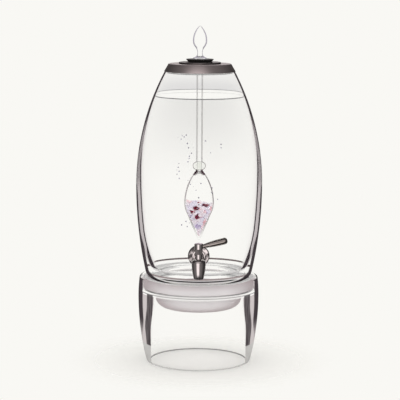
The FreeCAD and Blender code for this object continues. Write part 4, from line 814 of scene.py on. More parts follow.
def jar_glass_material(name):
    """The jar's glass: painted lines on its walls, a painted white bottom, the floor's painted
    rings, a painted shade veil on top.
    """
    colours, jar = settings().finish, settings().jar
    nodes, facing, inside, seen, (across, along, height) = glass_start(name)
    east, north, upward = nodes.normal()
    turning = critical_facing(JAR_IOR)
    floor = jar.base + jar.floor
    outside = 1 - inside
    leans_out = east * across + north * along > 0.0
    outer_wall = leans_out * outside
    inner_wall = (1 - outer_wall) * outside
    round_square = across * across + along * along
    radius = round_square**0.5
    aside = across * across / round_square

    # The outer wall's edge line, a painted reflection: wider lower down, faint at half height,
    # and drawn as one thin line along the front of the heel
    shoulder = nodes.step(height, 0.39, 0.44)
    under_belly = 1 - nodes.step(height, 0.295, 0.318)
    low = 1 - nodes.step(height, 0.205, 0.235)
    heel = 1 - nodes.step(height, floor - 0.005, floor + 0.005)
    edge = 0.80 - shoulder * 0.06 - under_belly * 0.05 - low * 0.10 - heel * 0.09
    rim = nodes.step(facing, edge, edge + 0.06) * outer_wall * (1 - nodes.step(upward, 0.5, 0.8))
    ahead = (1 - nodes.step(aside, 0.15, 0.40)) * (along < 0.0)
    rim = rim * (1 - ahead * (height < jar.base + 0.0065))
    rim = rim * (1 - nodes.band(height, 0.318, 0.372, 0.006) * 0.75)
    heel_line = nodes.band(height, jar.base + 0.0081, jar.base + 0.0103, 0.0006)
    heel_front = (1 - nodes.step(aside, 0.35, 0.60)) * (along < 0.0)
    rim = rim.most(heel_line * heel_front * outer_wall)

    # The inner wall's painted reflection line, from where the glass starts to turn light back
    line = (1 - nodes.step(height, 0.178, 0.212)) * 0.13 + 0.04
    over_floor = nodes.step(height, floor + 0.0055, floor + 0.0080)
    turned_back = (facing > turning) * inside * over_floor
    inner = 1 - nodes.step(facing, line + turning, line * 1.3 + turning)
    inner = inner * (1 - nodes.step(height, 0.355, 0.385) * (1 - shoulder) * 0.7)
    grey = nodes.step(height, 0.30, 0.33) * 0.4 - shoulder * 0.1
    lines = rim.most(turned_back * inner.most(grey)) * seen

    # The veil of painted shade over the water
    dry = nodes.step(height, jar.water_height + 0.0068, jar.water_height + 0.0080)
    dry = dry * (1 - nodes.step(height, 0.475, 0.508) * 0.6)
    painted_veil_shade = inner_wall * dry * (1 - facing**3) * seen
    base = nodes.blend(painted_veil_shade, colours.glass, colours.painted_veil_shade)
    clear = nodes.glass(base, JAR_IOR)

    # The thick bottom, painted white for the backdrop it reflects: a mirror below, its slopes and
    # its corners
    under = inside * (height < jar.base + jar.punt_depth + 0.0006) * seen
    level = nodes.step(upward, 0.90, 0.97)
    mirror = nodes.principled(colours.glass, Metallic=1.0, Roughness=0.0)
    clear = nodes.mixed(under * level, clear, mirror)
    base_wall = (1 - nodes.step(height, floor - 0.0025, floor - 0.0015)) * outer_wall
    corners = nodes.step(aside, 0.30, 0.50) * nodes.step(radius, 0.053, 0.058)
    slopes = under * (1 - level).most(corners)
    fillet = nodes.band(height, floor + 0.0004, floor + 0.0060, 0.0008) * inside * seen
    fillet = fillet * leans_out * 0.92
    white = (base_wall * seen * 0.85).most(slopes).most(fillet)
    clear = nodes.mixed(white, clear, nodes.diffuse_tone(colours.glass_body))

    # The floor's edge, as painted dark reflection rings: one behind and one in front
    sides = 1 - nodes.step(aside, 0.75, 0.95)
    by_wall = nodes.step(radius, 0.084, 0.086)
    back = nodes.band(height, floor - 0.0012, floor + 0.0018, 0.0006) * inside * by_wall
    front = nodes.band(height, floor - 0.0040, floor - 0.0012, 0.0006) * outside
    rings = (back * (sides * 0.6 + 0.4)).most(front * sides * 0.9) * seen
    clear = nodes.mixed(rings, clear, nodes.diffuse_tone(colours.painted_floor_ring))
    return nodes.surface(nodes.mixed(lines, clear, nodes.diffuse_tone(colours.painted_glass_line)))


def stand_glass_material(name):
    """The stand's glass: two painted dark bands in its thick wall, and painted thin lines round
    its foot and at its ledge.
    """
    colours, stand = settings().finish, settings().stand
    nodes, facing, inside, seen, (across, along, height) = glass_start(name)
    radius = off_axis(across, along)
    _, _, upward = nodes.normal()
    skin = nodes.step(radius, stand.foot_radius - 0.003, stand.foot_radius - 0.001)
    outside = (1 - inside) * skin * (1 - nodes.step(upward, 0.5, 0.8)) * seen

    # How far from the axis the line of sight passes, against the bore behind the wall
    ahead = (1 - facing - upward * 0.2) / 0.96
    offset = radius * (1 - ahead * ahead).most(0.0) ** 0.5
    ledge, edge_soft = stand.ledge_height, 0.0005
    draw_in = nodes.step(height, stand.bore_height, ledge - stand.ledge_nose)
    bore = stand.bore_radius - draw_in * (stand.bore_radius - stand.ledge_radius)
    recess = stand.cradle_radius + stand.cradle_gap
    above = nodes.step(height, ledge - edge_soft, ledge + edge_soft)
    bore = bore + above * (recess - stand.ledge_radius)
    wall = nodes.step(offset, bore - 0.0006, bore + 0.0006) * outside

    # The painted reflection bands: a streaked one next to the bore and one along the outer edge,
    # above the foot
    thick = nodes.step(height, 0.0355, 0.0370)
    lift = nodes.step(height, 0.030, 0.085)
    streak = nodes.noise(nodes.vector(offset, height * 0.06, 0.0), 520.0)
    reach = bore + (lift * 0.0038 + 0.0064)
    inner = (1 - nodes.step(offset, reach, reach + 0.0014)) * thick
    inner = inner * (streak * 0.5 + 0.65).least(1.0)
    rim = nodes.step(offset, radius - lift * 0.0085, radius - lift * 0.0070) * lift
    rim = rim.most(nodes.step(offset, radius - 0.0012, radius - 0.0006) * 0.5)
    # Painted reflection: a dark line round the foot, fainter at the front
    foot = 1 - nodes.step(height, 0.0006, 0.0014)
    foot = foot * seen * (0.6 - (along < 0.0) * 0.32)
    # Painted reflection: a dark line and light bands at the ledge
    dark = nodes.band(height, ledge - 0.0004, ledge + 0.0006, 0.0005) * outside * 0.55
    light = nodes.band(height, ledge - 0.0030, ledge + 0.0030, 0.0006) * outside * 0.75

    # Painted reflection: the wall's band tone, the white of the ledge bands and the dark of the
    # lines
    tint = nodes.blend(thick, colours.painted_low_band, colours.painted_wall_band)
    clear = nodes.glass(colours.glass, BLOWN_IOR)
    clear = nodes.mixed(wall * 0.85, clear, nodes.diffuse_tone(tint))
    clear = nodes.mixed(light, clear, nodes.diffuse_tone(colours.glass_body))
    lines = (wall * inner.most(rim)).most(foot).most(dark)
    return nodes.surface(nodes.mixed(lines, clear, nodes.diffuse_tone(colours.painted_glass_line)))


def satin_material(name):
    """Satin glass: milky, rough and softly lit through, with painted shade at its edges and rim
    and painted light on its upper faces.
    """
    colours, stand = settings().finish, settings().stand
    nodes = new_material(name)
    spot = nodes.place()
    _, _, height = nodes.parts(spot)
    _, _, upward = nodes.normal()
    rim = stand.ledge_height + stand.seal + stand.flange + stand.rim_rise
    cloudy, painted_light_on_top = (0.88, 0.82, 0.82), (0.96, 0.95, 0.94)
    base = nodes.blend(nodes.noise(spot, 40.0, 3.0) * 0.25, colours.satin, cloudy)
    # Painted shade where the satin is seen along its surface
    along_surface = nodes.step(nodes.facing(), 0.05, 0.75) * 0.8
    base = nodes.blend(along_surface, base, colours.painted_satin_shade)
    # Painted shade, darker towards the top of the rim
    painted_shade_under_rim = nodes.step(height, rim - 0.014, rim + 0.001) * 0.6
    base = nodes.blend(painted_shade_under_rim, base, colours.painted_satin_shade)
    # Painted light on faces that look up
    base = nodes.blend(nodes.step(upward, 0.3, 0.7), base, painted_light_on_top)
    grain = nodes.bump(nodes.noise(spot, 1800.0), strength=0.15, distance=0.0002)
    milky = {"Roughness": 0.6, "IOR": 1.3, "Transmission_Weight": 0.25}
    return nodes.surface(nodes.principled(base, **milky, Normal=grain))


def silicone_material(name):
    """Clear silicone, a little cloudy."""
    nodes = new_material(name)
    cloud = nodes.noise(nodes.place(), 120.0) * 0.2
    base = nodes.blend(cloud, settings().finish.silicone, (0.8, 0.8, 0.79))
    clear = {"Roughness": 0.35, "IOR": 1.41, "Transmission_Weight": 0.75}
    return nodes.surface(nodes.principled(base, **clear))


def rubber_material(name):
    """Black silicone, a little dusty."""
    nodes = new_material(name)
    dust = nodes.noise(nodes.place(), 260.0, 4.0)
    base = nodes.blend(dust * 0.3, settings().finish.rubber, (0.03, 0.028, 0.028))
    roughness = nodes.ramp(dust, (0.3, 0.4), (0.7, 0.55))
    return nodes.surface(nodes.principled(base, Roughness=roughness))


def darker(tone, share):
    return tuple(each * share for each in tone)


def brushed_material(name, tone):
    """Steel brushed round its axis: fine rings of changing roughness and tone."""
    nodes = new_material(name)
    across, along, height = nodes.parts(nodes.place())
    rings = nodes.vector(off_axis(across, along), height, 0.0)
    scratch = nodes.noise(rings, 2600.0, 3.0)
    base = nodes.blend(scratch * 0.35, tone, darker(tone, 0.72))
    roughness = nodes.ramp(scratch, (0.3, 0.24), (0.7, 0.36))
    grooves = nodes.bump(scratch, strength=0.2, distance=0.0001)
    steel = nodes.principled(base, Metallic=1.0, Roughness=roughness, Normal=grooves)
    return nodes.surface(steel)


def polished_material(name, tone, tone_and_reflection_patches=0.2, dark=(0.5, 0.46, 0.45)):
    """Polished steel, darker in patches (painted reflections on the rosette) and with painted
    dark reflections on the slopes that face upwards.
    """
    nodes = new_material(name)
    cloud = nodes.noise(nodes.place(), 90.0, 4.0)
    base = nodes.blend(nodes.ramp(cloud, (0.42, 0.0), (0.58, tone_and_reflection_patches)), tone, dark)
    _, _, upward = nodes.normal()
    # Painted reflection: slopes that face upwards are darker
    slopes = nodes.band(upward, 0.30, 0.80, 0.12) * 0.7
    base = nodes.blend(slopes, base, darker(dark, 0.3))
    roughness = nodes.ramp(cloud, (0.3, 0.06), (0.7, 0.13))
    return nodes.surface(nodes.principled(base, Metallic=1.0, Roughness=roughness))


def stone_material(name, tone, pale, clarity, glow):
    """Tumbled stone: clouded, veined, glossy and a little clear, with a painted glow."""
    nodes = new_material(name)
    spot = nodes.place()
    broad, veins = nodes.noise(spot, 110.0, 1.0), nodes.noise(spot, 480.0, 5.0)
    base = nodes.blend(nodes.ramp(broad, (0.34, 0.0), (0.50, 1.0)), tone, pale)
    base = nodes.blend(nodes.ramp(veins, (0.55, 0.0), (0.75, 0.35)), base, (0.95, 0.94, 0.95))
    # Painted light: the stone glows a little in its own colour
    stone = nodes.principled(
        base,
        Roughness=nodes.ramp(veins, (0.3, 0.12), (0.7, 0.35)),
        IOR=1.54,
        Transmission_Weight=clarity,
        Emission_Color=base,
        Emission_Strength=glow,
        Normal=nodes.bump(veins, strength=0.3, distance=0.0003),
    )
    return nodes.surface(stone)


# What makes each material: its maker and its colour in the settings, then for polished
# steel how dark its patches are, and for a stone its pale tone, clearness and painted glow
MAKERS = {
    "jar_glass": (jar_glass_material,),
    "stand_glass": (stand_glass_material,),
    "vial_glass": (vial_glass_material,),
    "finial_glass": (finial_glass_material,),
    "satin_glass": (satin_material,),
    "clear_silicone": (silicone_material,),
    "black_silicone": (rubber_material,),
    "brushed_steel": (brushed_material, "brushed"),
    # Painted shade: the flange's steel is a darker copy of the lid's
    "flange_steel": (brushed_material, "flange"),
    "polished_steel": (polished_material, "polished"),
    # Painted shade: the lever's steel is a darker copy of the tap's
    "lever_steel": (polished_material, "lever"),
    # The rosette's strong dark patches are painted reflections
    "rosette_steel": (polished_material, "polished", 0.95, (0.03, 0.028, 0.028)),
    "rose_quartz": (stone_material, "rose", (0.93, 0.87, 0.92), 0.15, 0.1),
    "amethyst": (stone_material, "amethyst", (0.88, 0.84, 0.94), 0.15, 0.1),
    "clear_quartz": (stone_material, "quartz", (0.90, 0.86, 0.93), 0.2, 0.1),
    "garnet": (stone_material, "garnet", (0.25, 0.02, 0.06), 0.2, 0.0),
}


@functools.cache
def finish(name):
    """The material of a name, made when it is first asked for."""
    colours = settings().finish
    maker, *values = MAKERS[name]
    values = [getattr(colours, each) if isinstance(each, str) else each for each in values]
    return maker(name, *values)


# Shapes of the pieces


def stand_section(stand):
    foot_round, rim_round, nose_round = 0.0024, 0.004, 0.003
    recess = stand.cradle_radius + stand.cradle_gap
    nose = stand.ledge_height - stand.ledge_nose
    widening = (stand.bore_radius - stand.ledge_radius) / 2
    draw_in = (nose - stand.bore_height) / 2
    sweep = bow(draw_in, widening)
    swell = bow(stand.belly_height, stand.belly_radius - stand.foot_radius)
    crown = bow(stand.height - stand.belly_height, stand.belly_radius - stand.rim_radius)
    section = Section(stand.bore_radius, 0, foot_round).line(stand.foot_radius, 0, foot_round)
    section.arc(stand.belly_radius, stand.belly_height, swell, 1, steps=28)
    section.arc(stand.rim_radius, stand.height, crown, 1, rim_round, steps=14)
    section.line(recess, stand.height, ROUNDED)
    section.line(recess, stand.ledge_height)
    section.line(stand.ledge_radius, stand.ledge_height, nose_round)
    section.line(stand.ledge_radius, nose)
    section.arc(stand.ledge_radius + widening, nose - draw_in, sweep, 1, steps=10)
    section.arc(stand.bore_radius, stand.bore_height, sweep, -1, steps=10)
    return section


def cradle_section(stand):
    base = stand.ledge_height + stand.seal
    step = base + stand.flange
    rim = step + stand.rim_rise
    bowl = base - stand.bowl_depth
    inside = stand.bowl_radius - stand.bowl_wall
    floor = bowl + stand.bowl_wall
    root_round = 0.002
    section = Section(0, bowl).line(stand.bowl_radius, bowl, stand.bowl_corner)
    section.line(stand.bowl_radius, base, root_round).line(stand.cradle_radius, base, FIRED)
    section.line(stand.cradle_radius, rim, FIRED)
    section.line(stand.recess_radius, rim, FIRED)
    section.line(stand.recess_radius, step).line(inside, step, FIRED)
    section.line(inside, floor, stand.bowl_corner - stand.bowl_wall).line(0, floor)
    return section


def jar_inner_walls(jar, section):
    """Go on from the mouth down the jar's inside to the middle of its floor."""
    inner = jar.base + jar.inner_rise
    low, floor = jar.base + jar.low_rise, jar.base + jar.floor
    mouth = jar.mouth_radius - jar.rim
    top_bow = bow(jar.base + jar.height - inner, jar.inner_radius - mouth)
    low_bow = bow(jar.inner_rise - jar.low_rise, jar.inner_radius - jar.low_radius)
    fall, inset = low - floor, jar.low_radius - jar.floor_radius
    sine = (jar.inner_rise - jar.low_rise) / low_bow
    heel_bow = (fall**2 + inset**2) / (2 * (inset * math.sqrt(1 - sine**2) - fall * sine))
    section.arc(jar.inner_radius, inner, top_bow, -1, steps=30)
    section.arc(jar.low_radius, low, low_bow, -1, steps=12)
    section.arc(jar.floor_radius, floor, heel_bow, -1, jar.floor_round, steps=24)
    section.line(0, floor)
    return section


def jar_inside(jar):
    """Outline of the jar's inside."""
    mouth = Section(jar.mouth_radius - jar.rim, jar.base + jar.height)
    return jar_inner_walls(jar, mouth).outline()


def jar_outer_bows(jar):
    """Bends of the outside under and over its widest place."""
    low = bow(jar.belly_rise, jar.belly_radius - jar.foot_radius)
    high = bow(jar.height - jar.belly_rise, jar.belly_radius - jar.mouth_radius)
    return low, high


def jar_outer_radius(jar, height):
    """Outside radius of the jar's lower part at a height."""
    low, _ = jar_outer_bows(jar)
    dip = jar.base + jar.belly_rise - height
    return jar.belly_radius - low + math.sqrt(low * low - dip * dip)


def jar_inner_radius(jar, height, inset=0.0):
    """Inside radius of the jar's upper part at a height."""
    inner = jar.base + jar.inner_rise
    bend = bow(jar.base + jar.height - inner, jar.inner_radius - jar.mouth_radius + jar.rim)
    lift = height - inner
    return jar.inner_radius - bend + math.sqrt(bend * bend - lift * lift) - inset


def jar_section(jar):
    low, high = jar_outer_bows(jar)
    top, rim_round = jar.base + jar.height, 0.0009
    section = Section(0, jar.base + jar.punt_depth)
    section.arc(jar.punt_radius, jar.base, bow(jar.punt_radius, jar.punt_depth), -1, steps=16)
    section.line(jar.foot_radius, jar.base, jar.heel)
    section.arc(jar.belly_radius, jar.base + jar.belly_rise, low, 1, steps=40)
    section.arc(jar.mouth_radius, top, high, 1, rim_round, steps=46)
    section.line(jar.mouth_radius - jar.rim, top, rim_round)
    return jar_inner_walls(jar, section)


def water_section(jar):
    """The water a hair inside the glass, with its meniscus."""
    gap, creep, floor_reach = jar.water_gap, 0.004, 0.09
    top = jar.water_height + jar.meniscus
    rim = jar_inner_radius(jar, top, gap)
    section = Section(0, jar.water_height).line(rim - creep, jar.water_height)
    section.arc(rim, top, bow(creep, jar.meniscus), 1, steps=8)
    for point in jar_inside(jar):
        if point.y < top - FINE:
            lift = gap if point.x < floor_reach else 0.0
            section.points.append(Vector((max(point.x - gap, 0.0), point.y + lift)))
    return section


def along_shank(jar, tap):
    """Distances from the jar's axis to the faces of everything on the shank."""
    height = jar.base + tap.rise
    outside = jar_outer_radius(jar, height + tap.outer_gasket) + tap.gasket_least
    share_up = (tap.rise - tap.inner_gasket - jar.floor) / (jar.low_rise - jar.floor)
    inside = jar.floor_radius + (jar.low_radius - jar.floor_radius) * share_up
    return {
        "height": height,
        "outer_gasket": outside,
        "rosette": outside + tap.rosette,
        "axis": outside + tap.rosette + tap.reach,
        "inner_gasket": inside,
        "washer": inside - tap.washer,
        "nut": inside - tap.washer - tap.nut,
        "end": inside - tap.washer - tap.nut - tap.tail,
    }


def facing_out(distance, height):
    """Matrix that lays a piece turned round Z along the shank, its base towards the jar."""
    return shift(0, -distance, height) @ rotation(90, "X")


def contoured_ring(name, outer, inner, face, wall_radius, height, sides=96, rows=8):
    """Gasket ring with one flat face and one face that follows the jar's wall."""
    work = bmesh.new()
    loops = []
    spots = [outer + (inner - outer) * row / rows for row in range(rows + 1)]
    for flat_side in (True, False):
        for radius in spots if flat_side else reversed(spots):
            ring = []
            for angle in angles(sides):
                x, z = radius * math.cos(angle), height + radius * math.sin(angle)
                y = face if flat_side else math.sqrt(wall_radius(z) ** 2 - x * x)
                ring.append(work.verts.new((x, -y, z)))
            loops.append(ring)
    return closed(name, work, loops)


def hex_nut(name, flats, height, bore, bevel=MOULDED, levels=5, sides=72):
    """Hexagonal nut on Z from 0 up, its free corners turned off, bored through."""
    half, corner = flats / 2, flats / math.sqrt(3)
    slope = bevel / (corner - half)
    stations = [(0.0, corner)]
    for step in range(levels + 1):
        reach = corner - (corner - half) * step / levels
        stations.append((height - bevel + (corner - reach) * slope, reach))
    work = bmesh.new()
    rings = []
    for level, cap in stations:
        ring = []
        for angle in angles(sides):
            part = (angle + math.pi / 6) % (math.pi / 3) - math.pi / 6
            reach = min(half / math.cos(part), cap)
            ring.append(work.verts.new((reach * math.cos(angle), reach * math.sin(angle), level)))
        rings.append(ring)
    rings.extend(circle(work, bore, level, sides) for level in (height, 0.0))
    return closed(name, work, rings)


def spout_section(tap):
    """Spout, shoulder, barrel and spigot with the bore inside, round the tap's axis."""
    below, wide, shoulder = -tap.spout_drop, -tap.shoulder_drop, -tap.shoulder_top
    play, lip_round = 0.0004, 0.0007
    chamber, under_plug = tap.plug_radius + FIT, -tap.plug_drop - play
    mouth_top = below + tap.mouth_depth
    section = Section(tap.mouth_bore, below, BROKEN)
    section.line(tap.spout_radius, below, lip_round)
    taper = tap.shoulder_radius - tap.spout_radius
    section.arc(tap.shoulder_radius, wide, bow(wide - below, taper), 1, steps=16)
    step = tap.shoulder_radius - tap.barrel_radius
    section.arc(tap.barrel_radius, shoulder, bow(shoulder - wide, step), 1, EASED, steps=14)
    section.line(tap.barrel_radius, tap.barrel_rise, BROKEN)
    section.line(tap.spigot_radius, tap.barrel_rise)
    section.line(tap.spigot_radius, tap.spigot_rise)
    section.line(chamber, tap.spigot_rise)
    section.line(chamber, under_plug).line(tap.spout_bore, under_plug)
    section.line(tap.spout_bore, mouth_top + tap.mouth_bore - tap.spout_bore)
    section.line(tap.mouth_bore, mouth_top)
    return section


def shank_section(tap, length_back):
    """Arm, collar and threaded shank, bored, along Z away from the tap's axis."""
    sunk, undercut = 0.0016, 0.0002
    plain, pitch, thread, point = 0.001, 0.0015, 0.0005, 0.0003
    start = tap.barrel_radius - sunk
    front = tap.reach - tap.collar
    flare = tap.arm_root - tap.arm_neck
    section = Section(tap.shank_bore, start)
    section.line(tap.arm_neck - undercut, start)
    section.arc(tap.arm_root, front, bow(front, flare), -1, EASED, steps=14)
    section.line(tap.collar_radius, front, MOULDED)
    section.line(tap.collar_radius, tap.reach, CUT)
    section.line(tap.shank_radius, tap.reach)
    turns = int((length_back - tap.reach - 2 * plain) / pitch)
    for index in range(turns):
        low = tap.reach + plain + index * pitch
        section.line(tap.shank_radius, low)
        section.line(tap.shank_radius - thread, low + pitch / 2)
    section.line(tap.shank_radius - point, length_back)
    section.line(tap.shank_bore, length_back, BROKEN)
    return section


def lever_section(tap):
    """A club: straight in the cap and just past it, then swelling towards its tip."""
    stub = 0.001
    straight = tap.cap_radius + stub
    section = Section(0, tap.lever_seat).line(tap.lever_root, tap.lever_seat)
    section.line(tap.lever_root, straight)
    run = tap.lever_swell - straight
    bend = bow(run, tap.lever_radius - tap.lever_root)
    section.arc(tap.lever_radius, tap.lever_swell, bend, 1, steps=20)
    section.line(tap.lever_radius, tap.lever_reach, tap.lever_end).line(0, tap.lever_reach)
    return section


def vial_walls(vial, inset, top, tip_height, tip_radius):
    """One wall of the vial from the top down, inset from the outside."""
    shoulder_round, neck_round, cone_round = 0.02, 0.004, 0.012
    tube, bead = vial.tube_radius - inset, vial.bead_radius
    bulb, turn_radius = vial.bulb_radius - inset, vial.turn_radius - inset
    neck = vial.neck_radius - inset
    section = Section(tube, top)
    if inset:
        section.line(tube, vial.neck_height + vial.bead_half / 2, shoulder_round)
    else:
        bead_bow = bow(vial.bead_half, bead - tube)
        section.line(tube, vial.bead_height + vial.bead_half, FIRED)
        section.arc(bead, vial.bead_height, bead_bow, -1, steps=12)
        section.arc(tube, vial.bead_height - vial.bead_half, bead_bow, -1, FIRED, steps=12)
    section.line(neck, vial.neck_height, neck_round)
    upper = bow(vial.neck_height - vial.bulb_height, bulb - neck)
    section.arc(bulb, vial.bulb_height, upper, -1, steps=26)
    lower = bow(vial.bulb_height - vial.turn_height, bulb - turn_radius)
    section.arc(turn_radius, vial.turn_height, lower, -1, cone_round, steps=10)
    section.line(tip_radius, tip_height, tip_radius * 0.7)
    return section


def vial_section(vial, top):
    """Outside down and inside up again, as one closed outline."""
    outside = vial_walls(vial, 0.0, top, vial.tip_height, vial.tip_radius)
    outside.line(0, vial.tip_height)
    tip = vial.tip_height + 2.5 * vial.wall
    inside = vial_walls(vial, vial.wall, top, tip, vial.tip_radius / 2)
    inside.line(0, tip)
    return outside.outline() + inside.outline()[::-1]


def finial_section(vial, base):
    stub = vial.tube_radius - vial.wall - FIT
    neck_height = base + vial.finial_neck_rise
    belly_height = base + vial.finial_belly_rise
    top = base + vial.finial_height
    waist = (vial.finial_belly - vial.finial_neck) / 2
    lift = (belly_height - neck_height) / 2
    sweep = bow(lift, waist)
    section = Section(0, base - vial.stub_depth).line(stub, base - vial.stub_depth, SOFT)
    section.line(stub, base).line(vial.finial_foot, base, ROUNDED)
    section.line(vial.finial_foot, base + vial.finial_foot_height, EASED)
    rise = vial.finial_neck_rise - vial.finial_foot_height
    flare = bow(rise, vial.finial_foot - vial.finial_neck)
    section.arc(vial.finial_neck, neck_height, flare, -1, steps=12)
    section.arc(vial.finial_neck + waist, neck_height + lift, sweep, -1, steps=9)
    section.arc(vial.finial_belly, belly_height, sweep, 1, steps=9)
    crown = bow(top - belly_height, vial.finial_belly - vial.finial_tip)
    section.arc(vial.finial_tip, top, crown, 1, EASED, steps=16)
    section.line(0, top)
    return section


def tumbled(name, node, edge, weld=2e-6, flat=math.radians(2), shortest=0.6):
    """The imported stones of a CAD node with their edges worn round."""
    work = bmesh.new()
    work.from_mesh(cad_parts[node].data)
    bmesh.ops.remove_doubles(work, verts=work.verts, dist=weld)
    bmesh.ops.dissolve_limit(work, angle_limit=flat, verts=work.verts, edges=work.edges)
    short = [each for each in work.edges if each.calc_length() < edge * shortest]
    bmesh.ops.collapse(work, edges=short)
    bmesh.ops.bevel(
        work,
        geom=work.edges[:] + work.verts[:],
        offset=edge,
        offset_type="OFFSET",
        segments=2,
        profile=0.6,
        affect="EDGES",
        clamp_overlap=True,
    )
    bmesh.ops.recalc_face_normals(work, faces=work.faces)
    return written(name, work)


def bubble(index, largest):
    """Place and radius of one bubble; they lie round the vial, three of four to its left."""
    angle = math.pi * (1.08 + 0.42 * math.sin(2.4 * index))
    if index % 4 == 3:
        angle = -0.9 + 0.8 * math.sin(1.7 * index)
    spread = 0.022 + 0.020 * (0.5 + 0.5 * math.sin(5.3 * index))
    rise = 0.400 - 0.165 * ((index * 0.618) % 1.0) ** 1.3
    size = largest * (0.35 + 0.65 * abs(math.sin(3.1 * index)))
    return (spread * math.cos(angle), spread * math.sin(angle), rise), size


# Operators


class DISPENSER_OT_stand(bpy.types.Operator):
    """Build the glass stand"""

    bl_idname = "dispenser.stand"
    bl_label = "Stand"

    def execute(self, context):
        stand = settings().stand
        mesh = turned("stand_glass", stand_section(stand), sides=176)
        stand_in("stand_glass", mesh, "stand_glass", "stand", "stand")
        return {"FINISHED"}


class DISPENSER_OT_cradle(bpy.types.Operator):
    """Build the satin cradle and the rings under cradle and jar"""

    bl_idname = "dispenser.cradle"
    bl_label = "Cradle and rings"

    def execute(self, context):
        stand, jar = settings().stand, settings().jar
        mesh = turned("cradle_dish", cradle_section(stand), sides=160)
        stand_in("cradle_dish", mesh, "satin_glass", "cradle", "cradle")
        from_nose, from_wall = 0.005, 0.002
        inner, outer = stand.ledge_radius + from_nose, stand.cradle_radius - from_wall
        low, high = stand.ledge_height, stand.ledge_height + stand.seal
        mesh = turned("ledge_ring", flat_ring(inner, outer, low, high, SOFT))
        stand_in("ledge_ring", mesh, "clear_silicone", "stand", "cradle_seal")
        outer = jar.foot_radius - jar.heel
        inner = outer - jar.ring_width
        low, high = jar.base - jar.ring_height, jar.base
        mesh = turned("foot_ring", flat_ring(inner, outer, low, high, CUT))
        stand_in("foot_ring", mesh, "clear_silicone", "cradle", "jar_ring")
        return {"FINISHED"}


class DISPENSER_OT_jar(bpy.types.Operator):
    """Build the glass jar with its tap hole"""

    bl_idname = "dispenser.jar"
    bl_label = "Jar"

    def execute(self, context):
        jar, tap = settings().jar, settings().tap
        mesh = turned("jar_glass", jar_section(jar), sides=192)
        within_wall, past_wall = 0.05, 0.15
        drill = rod(jar.hole_radius, within_wall, past_wall)
        drill.transform(facing_out(0, jar.base + tap.rise))
        mesh = carved(mesh, drill)
        stand_in("jar_glass", mesh, "jar_glass", "jar", "jar")
        return {"FINISHED"}


class DISPENSER_OT_water(bpy.types.Operator):
    """Fill the jar with water, with its meniscus and a few bubbles"""

    bl_idname = "dispenser.water"
    bl_label = "Water"

    def execute(self, context):
        jar, vial, colours = settings().jar, settings().vial, settings().finish
        level = jar.water_height
        nodes, facing, inside, seen, (_, _, height) = glass_start("water")
        _, _, upward = nodes.normal()
        near = (1 - inside) * (1 - nodes.step(upward, 0.5, 0.8)) * seen
        # Painted shade: the water darkens towards its surface, most where it is met squarely
        painted_water_shade = nodes.step(height, level - 0.15, level) * (1 - facing) * 0.32 * near
        base = nodes.blend(painted_water_shade, colours.glass, (0.0, 0.0, 0.03))
        material = nodes.surface(nodes.glass(base, WATER_IOR))
        mesh = turned("water", water_section(jar), sides=160)
        place("water", mesh, material, "jar")

        # Two painted bands for the meniscus, seen from one side only: the near dark line
        # from outside, the light rim from within
        tall, inset = 0.0012, 0.0003
        for name, tone, low, outwards in (
            ("water_line", colours.waterline, level + 0.0010, True),
            ("water_rim", colours.waterrim, level + 0.0072, False),
        ):
            nodes, _, inside, _, _ = glass_start(name)
            material = nodes.surface(nodes.principled(tone, Roughness=0.4, Alpha=1 - inside))
            radii = [jar_inner_radius(jar, each, inset) for each in (low, low + tall)]
            mesh = hoop(name, *radii, low, tall)
            if not outwards:
                mesh.flip_normals()
            place(name, mesh, material, "jar")

        nodes = new_material("bubbles")
        alpha = 0.75 - nodes.step(nodes.facing(), 0.1, 0.9) * 0.6
        material = nodes.surface(nodes.principled(colours.bubble, Roughness=0.3, Alpha=alpha))
        work = bmesh.new()
        for index in range(vial.bubble_count):
            spot, size = bubble(index, vial.bubble_radius)
            bmesh.ops.create_icosphere(work, subdivisions=2, radius=size, matrix=shift(*spot))
        place("bubbles", written("bubbles", work), material, "jar")
        return {"FINISHED"}


